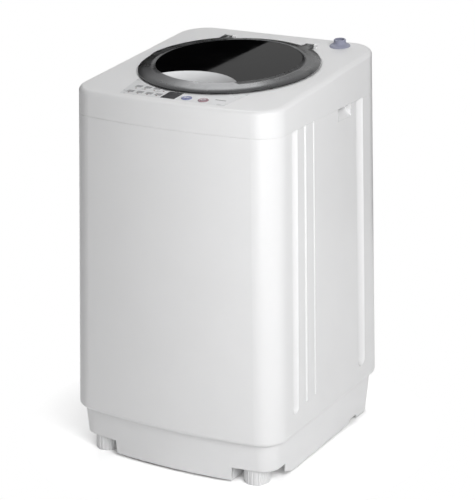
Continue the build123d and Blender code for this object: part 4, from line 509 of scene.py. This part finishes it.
def arc_band(radius, width, start, end, steps=28):
    """Edge of a band along an arc, by angles in degrees."""
    angles = [math.radians(start + (end - start) * i / steps) for i in range(steps + 1)]
    outer_radius = radius + width / 2
    inner_radius = radius - width / 2
    outer = [(outer_radius * math.cos(a), outer_radius * math.sin(a)) for a in angles]
    inner = [(inner_radius * math.cos(a), inner_radius * math.sin(a)) for a in reversed(angles)]
    return outer + inner


def key_face(node):
    """Place and tilt of the dished face of a key, on the key's own axis."""
    centre = middle(node)
    face = on_overlay(centre.x, centre.y, SYMBOL_RISE).translation
    return Matrix.Translation(centre + TOP_UP * (face - centre).dot(TOP_UP)) @ TOP_TURN


stroke = 0.0009
keys = (("start_button", "start_key", "button_blue"), ("power_button", "power_key", "button_red"))
for node, body, slot in keys:
    symbol = bmesh.new()
    place = key_face(node)
    if node == "power_button":
        flat_shape(symbol, [arc_band(0.0038, stroke, 120, 420), bar(0, 0.0035, stroke, 0.0042)], place, FILM)
    else:
        triangle = [(-0.0040, -0.0030), (0.0004, 0), (-0.0040, 0.0030)]
        pauses = [bar(0.0019, 0, stroke, 0.0060), bar(0.0037, 0, stroke, 0.0060)]
        flat_shape(symbol, [triangle, *pauses], place, FILM)
    mesh = bpy.data.meshes.new(body + "_symbol")
    symbol.to_mesh(mesh)
    mesh.materials.append(ink_pale)
    finished(body + "_symbol", mesh, body)

# Camera at the photograph's angle
FRAME_WIDTH = 475.0
FOCAL_PIXELS = 1816.6
CAMERA_PLACE = (1.6713, -2.9595, 1.5211)
yaw, pitch, roll = 0.5090, 0.3237, -0.0052
forward = Vector((-math.sin(yaw) * math.cos(pitch), math.cos(yaw) * math.cos(pitch), -math.sin(pitch)))
level = Vector((math.cos(yaw), math.sin(yaw), 0))
upright = level.cross(forward)
right = math.cos(roll) * level + math.sin(roll) * upright
up = -math.sin(roll) * level + math.cos(roll) * upright
camera_data = bpy.data.cameras.new("camera")
camera_data.sensor_fit = "HORIZONTAL"
camera_data.sensor_width = 36.0
camera_data.lens = FOCAL_PIXELS / FRAME_WIDTH * camera_data.sensor_width
camera = bpy.data.objects.new("camera", camera_data)
camera.matrix_world = Matrix.Translation(CAMERA_PLACE) @ Matrix((right, up, -forward)).transposed().to_4x4()
bpy.context.scene.collection.objects.link(camera)
bpy.context.scene.camera = camera


# Studio
def soft_box(name, place, target, size, power, in_gloss=True):
    """Soft box aimed at a point, which gloss may or may not show."""
    data = bpy.data.lights.new(name, "AREA")
    data.shape = "RECTANGLE"
    data.size, data.size_y = size
    data.energy = power
    light = bpy.data.objects.new(name, data)
    light.visible_glossy = in_gloss
    bpy.context.scene.collection.objects.link(light)
    aim = Vector(target) - Vector(place)
    light.matrix_world = Matrix.Translation(place) @ aim.to_track_quat("-Z", "Y").to_matrix().to_4x4()


soft_box("near_box", (0.95, -1.35, 0.75), (0.05, -0.2, 0.42), (0.4, 1.4), 6.2)
soft_box("key_box", (2.2, -1.5, 2.05), (0, 0, 0.45), (1.2, 1.6), 50.0)
soft_box("top_box", (-0.78, 1.06, 2.36), (0, 0, 0.74), (0.7, 0.7), 8.5)
soft_box("sky_box", (0.3, -0.4, 2.6), (0, 0, 0.7), (1.5, 1.5), 4.0, in_gloss=False)
soft_box("rear_box", (-1.9, 2.3, 1.5), (0, 0, 0.4), (1.4, 1.6), 34.0, in_gloss=False)
WORLD_FILL = 0.095


def white_where_seen(tree):
    """Value of 1 for rays from the camera, from gloss and through clear pieces, and 0 for the rest."""
    path = tree.nodes.new("ShaderNodeLightPath")
    seen = path.outputs["Is Camera Ray"]
    for ray in ("Is Glossy Ray", "Is Transmission Ray"):
        either = tree.nodes.new("ShaderNodeMath")
        either.operation = "MAXIMUM"
        tree.links.new(seen, either.inputs[0])
        tree.links.new(path.outputs[ray], either.inputs[1])
        seen = either.outputs[0]
    return seen


def staged(name, corners, finish):
    """Flat board of the studio, which isn't part of the object."""
    mesh = bpy.data.meshes.new(name)
    mesh.from_pydata(corners, [], [tuple(range(len(corners)))])
    mesh.materials.append(finish)
    board = bpy.data.objects.new(name, mesh)
    bpy.context.scene.collection.objects.link(board)
    return board


# Floor: its lit part shows as white to the camera, so that only the object's shadow is left on it
FLOOR_LIT = 1.6
FADE_START = 0.27
FADE_END = 0.42
FADE_LEAST = 0.04
floor_finish, floor_tree, _, floor_place = new_finish("floor_pale", (0.9, 0.9, 0.9), 0.8)
floor_shade = tint(floor_tree, noise(floor_tree, floor_place, 3.0), (0.89, 0.89, 0.89), (0.91, 0.91, 0.91))
lit = floor_tree.nodes.new("ShaderNodeMix")
lit.data_type = "RGBA"
lit.inputs["B"].default_value = (FLOOR_LIT, FLOOR_LIT, FLOOR_LIT, 1)
floor_seen = white_where_seen(floor_tree)
floor_tree.links.new(floor_seen, lit.inputs["Factor"])
floor_tree.links.new(floor_shade, lit.inputs["A"])
matt = floor_tree.nodes.new("ShaderNodeBsdfDiffuse")
floor_tree.links.new(lit.outputs["Result"], matt.inputs["Color"])
glow = floor_tree.nodes.new("ShaderNodeEmission")
glow.inputs["Strength"].default_value = 1.0
reach = floor_tree.nodes.new("ShaderNodeVectorMath")
reach.operation = "LENGTH"
floor_tree.links.new(floor_place, reach.inputs[0])
fade = floor_tree.nodes.new("ShaderNodeMapRange")
fade.inputs["From Min"].default_value = FADE_START
fade.inputs["From Max"].default_value = FADE_END
fade.inputs["To Min"].default_value = FADE_LEAST
fade.inputs["To Max"].default_value = 1.0
floor_tree.links.new(reach.outputs["Value"], fade.inputs["Value"])
share = floor_tree.nodes.new("ShaderNodeMath")
share.operation = "MULTIPLY"
floor_tree.links.new(fade.outputs["Result"], share.inputs[0])
floor_tree.links.new(floor_seen, share.inputs[1])
blend = floor_tree.nodes.new("ShaderNodeMixShader")
floor_tree.links.new(share.outputs[0], blend.inputs[0])
floor_tree.links.new(matt.outputs[0], blend.inputs[1])
floor_tree.links.new(glow.outputs[0], blend.inputs[2])
floor_tree.links.new(blend.outputs[0], floor_tree.nodes["Material Output"].inputs["Surface"])
FLOOR_REACH = 12.0
FLOOR_GAP = -0.0002
floor_signs = ((-1, -1), (1, -1), (1, 1), (-1, 1))
floor_corners = [(x * FLOOR_REACH, y * FLOOR_REACH, FLOOR_GAP) for x, y in floor_signs]
staged("floor", floor_corners, floor_finish)

# Black board behind, which only gloss sees, so that the lid's window has its dark reflection
flag_finish, _, flag_shader, _ = new_finish("flag_black", (0.001, 0.001, 0.001), 1.0)
flag_shader.inputs["Specular IOR Level"].default_value = 0.0
FLAG_Y = 1.4
flag_edge = [(-3.0, 0.0), (0.9, 0.0), (0.9, 0.453), (-3.0, 2.546)]
flag = staged("flag", [(x, FLAG_Y, z) for x, z in flag_edge], flag_finish)
flag.visible_camera = False
flag.visible_diffuse = False
flag.visible_shadow = False

world = bpy.data.worlds.new("studio")
bpy.context.scene.world = world
world.use_nodes = True
backdrop = world.node_tree.nodes["Background"]
backdrop.inputs["Color"].default_value = (1, 1, 1, 1)
strength = world.node_tree.nodes.new("ShaderNodeMapRange")
strength.inputs["To Min"].default_value = WORLD_FILL
strength.inputs["To Max"].default_value = 1.0
world.node_tree.links.new(white_where_seen(world.node_tree), strength.inputs["Value"])
world.node_tree.links.new(strength.outputs["Result"], backdrop.inputs["Strength"])

bpy.context.scene.view_settings.view_transform = "Standard"
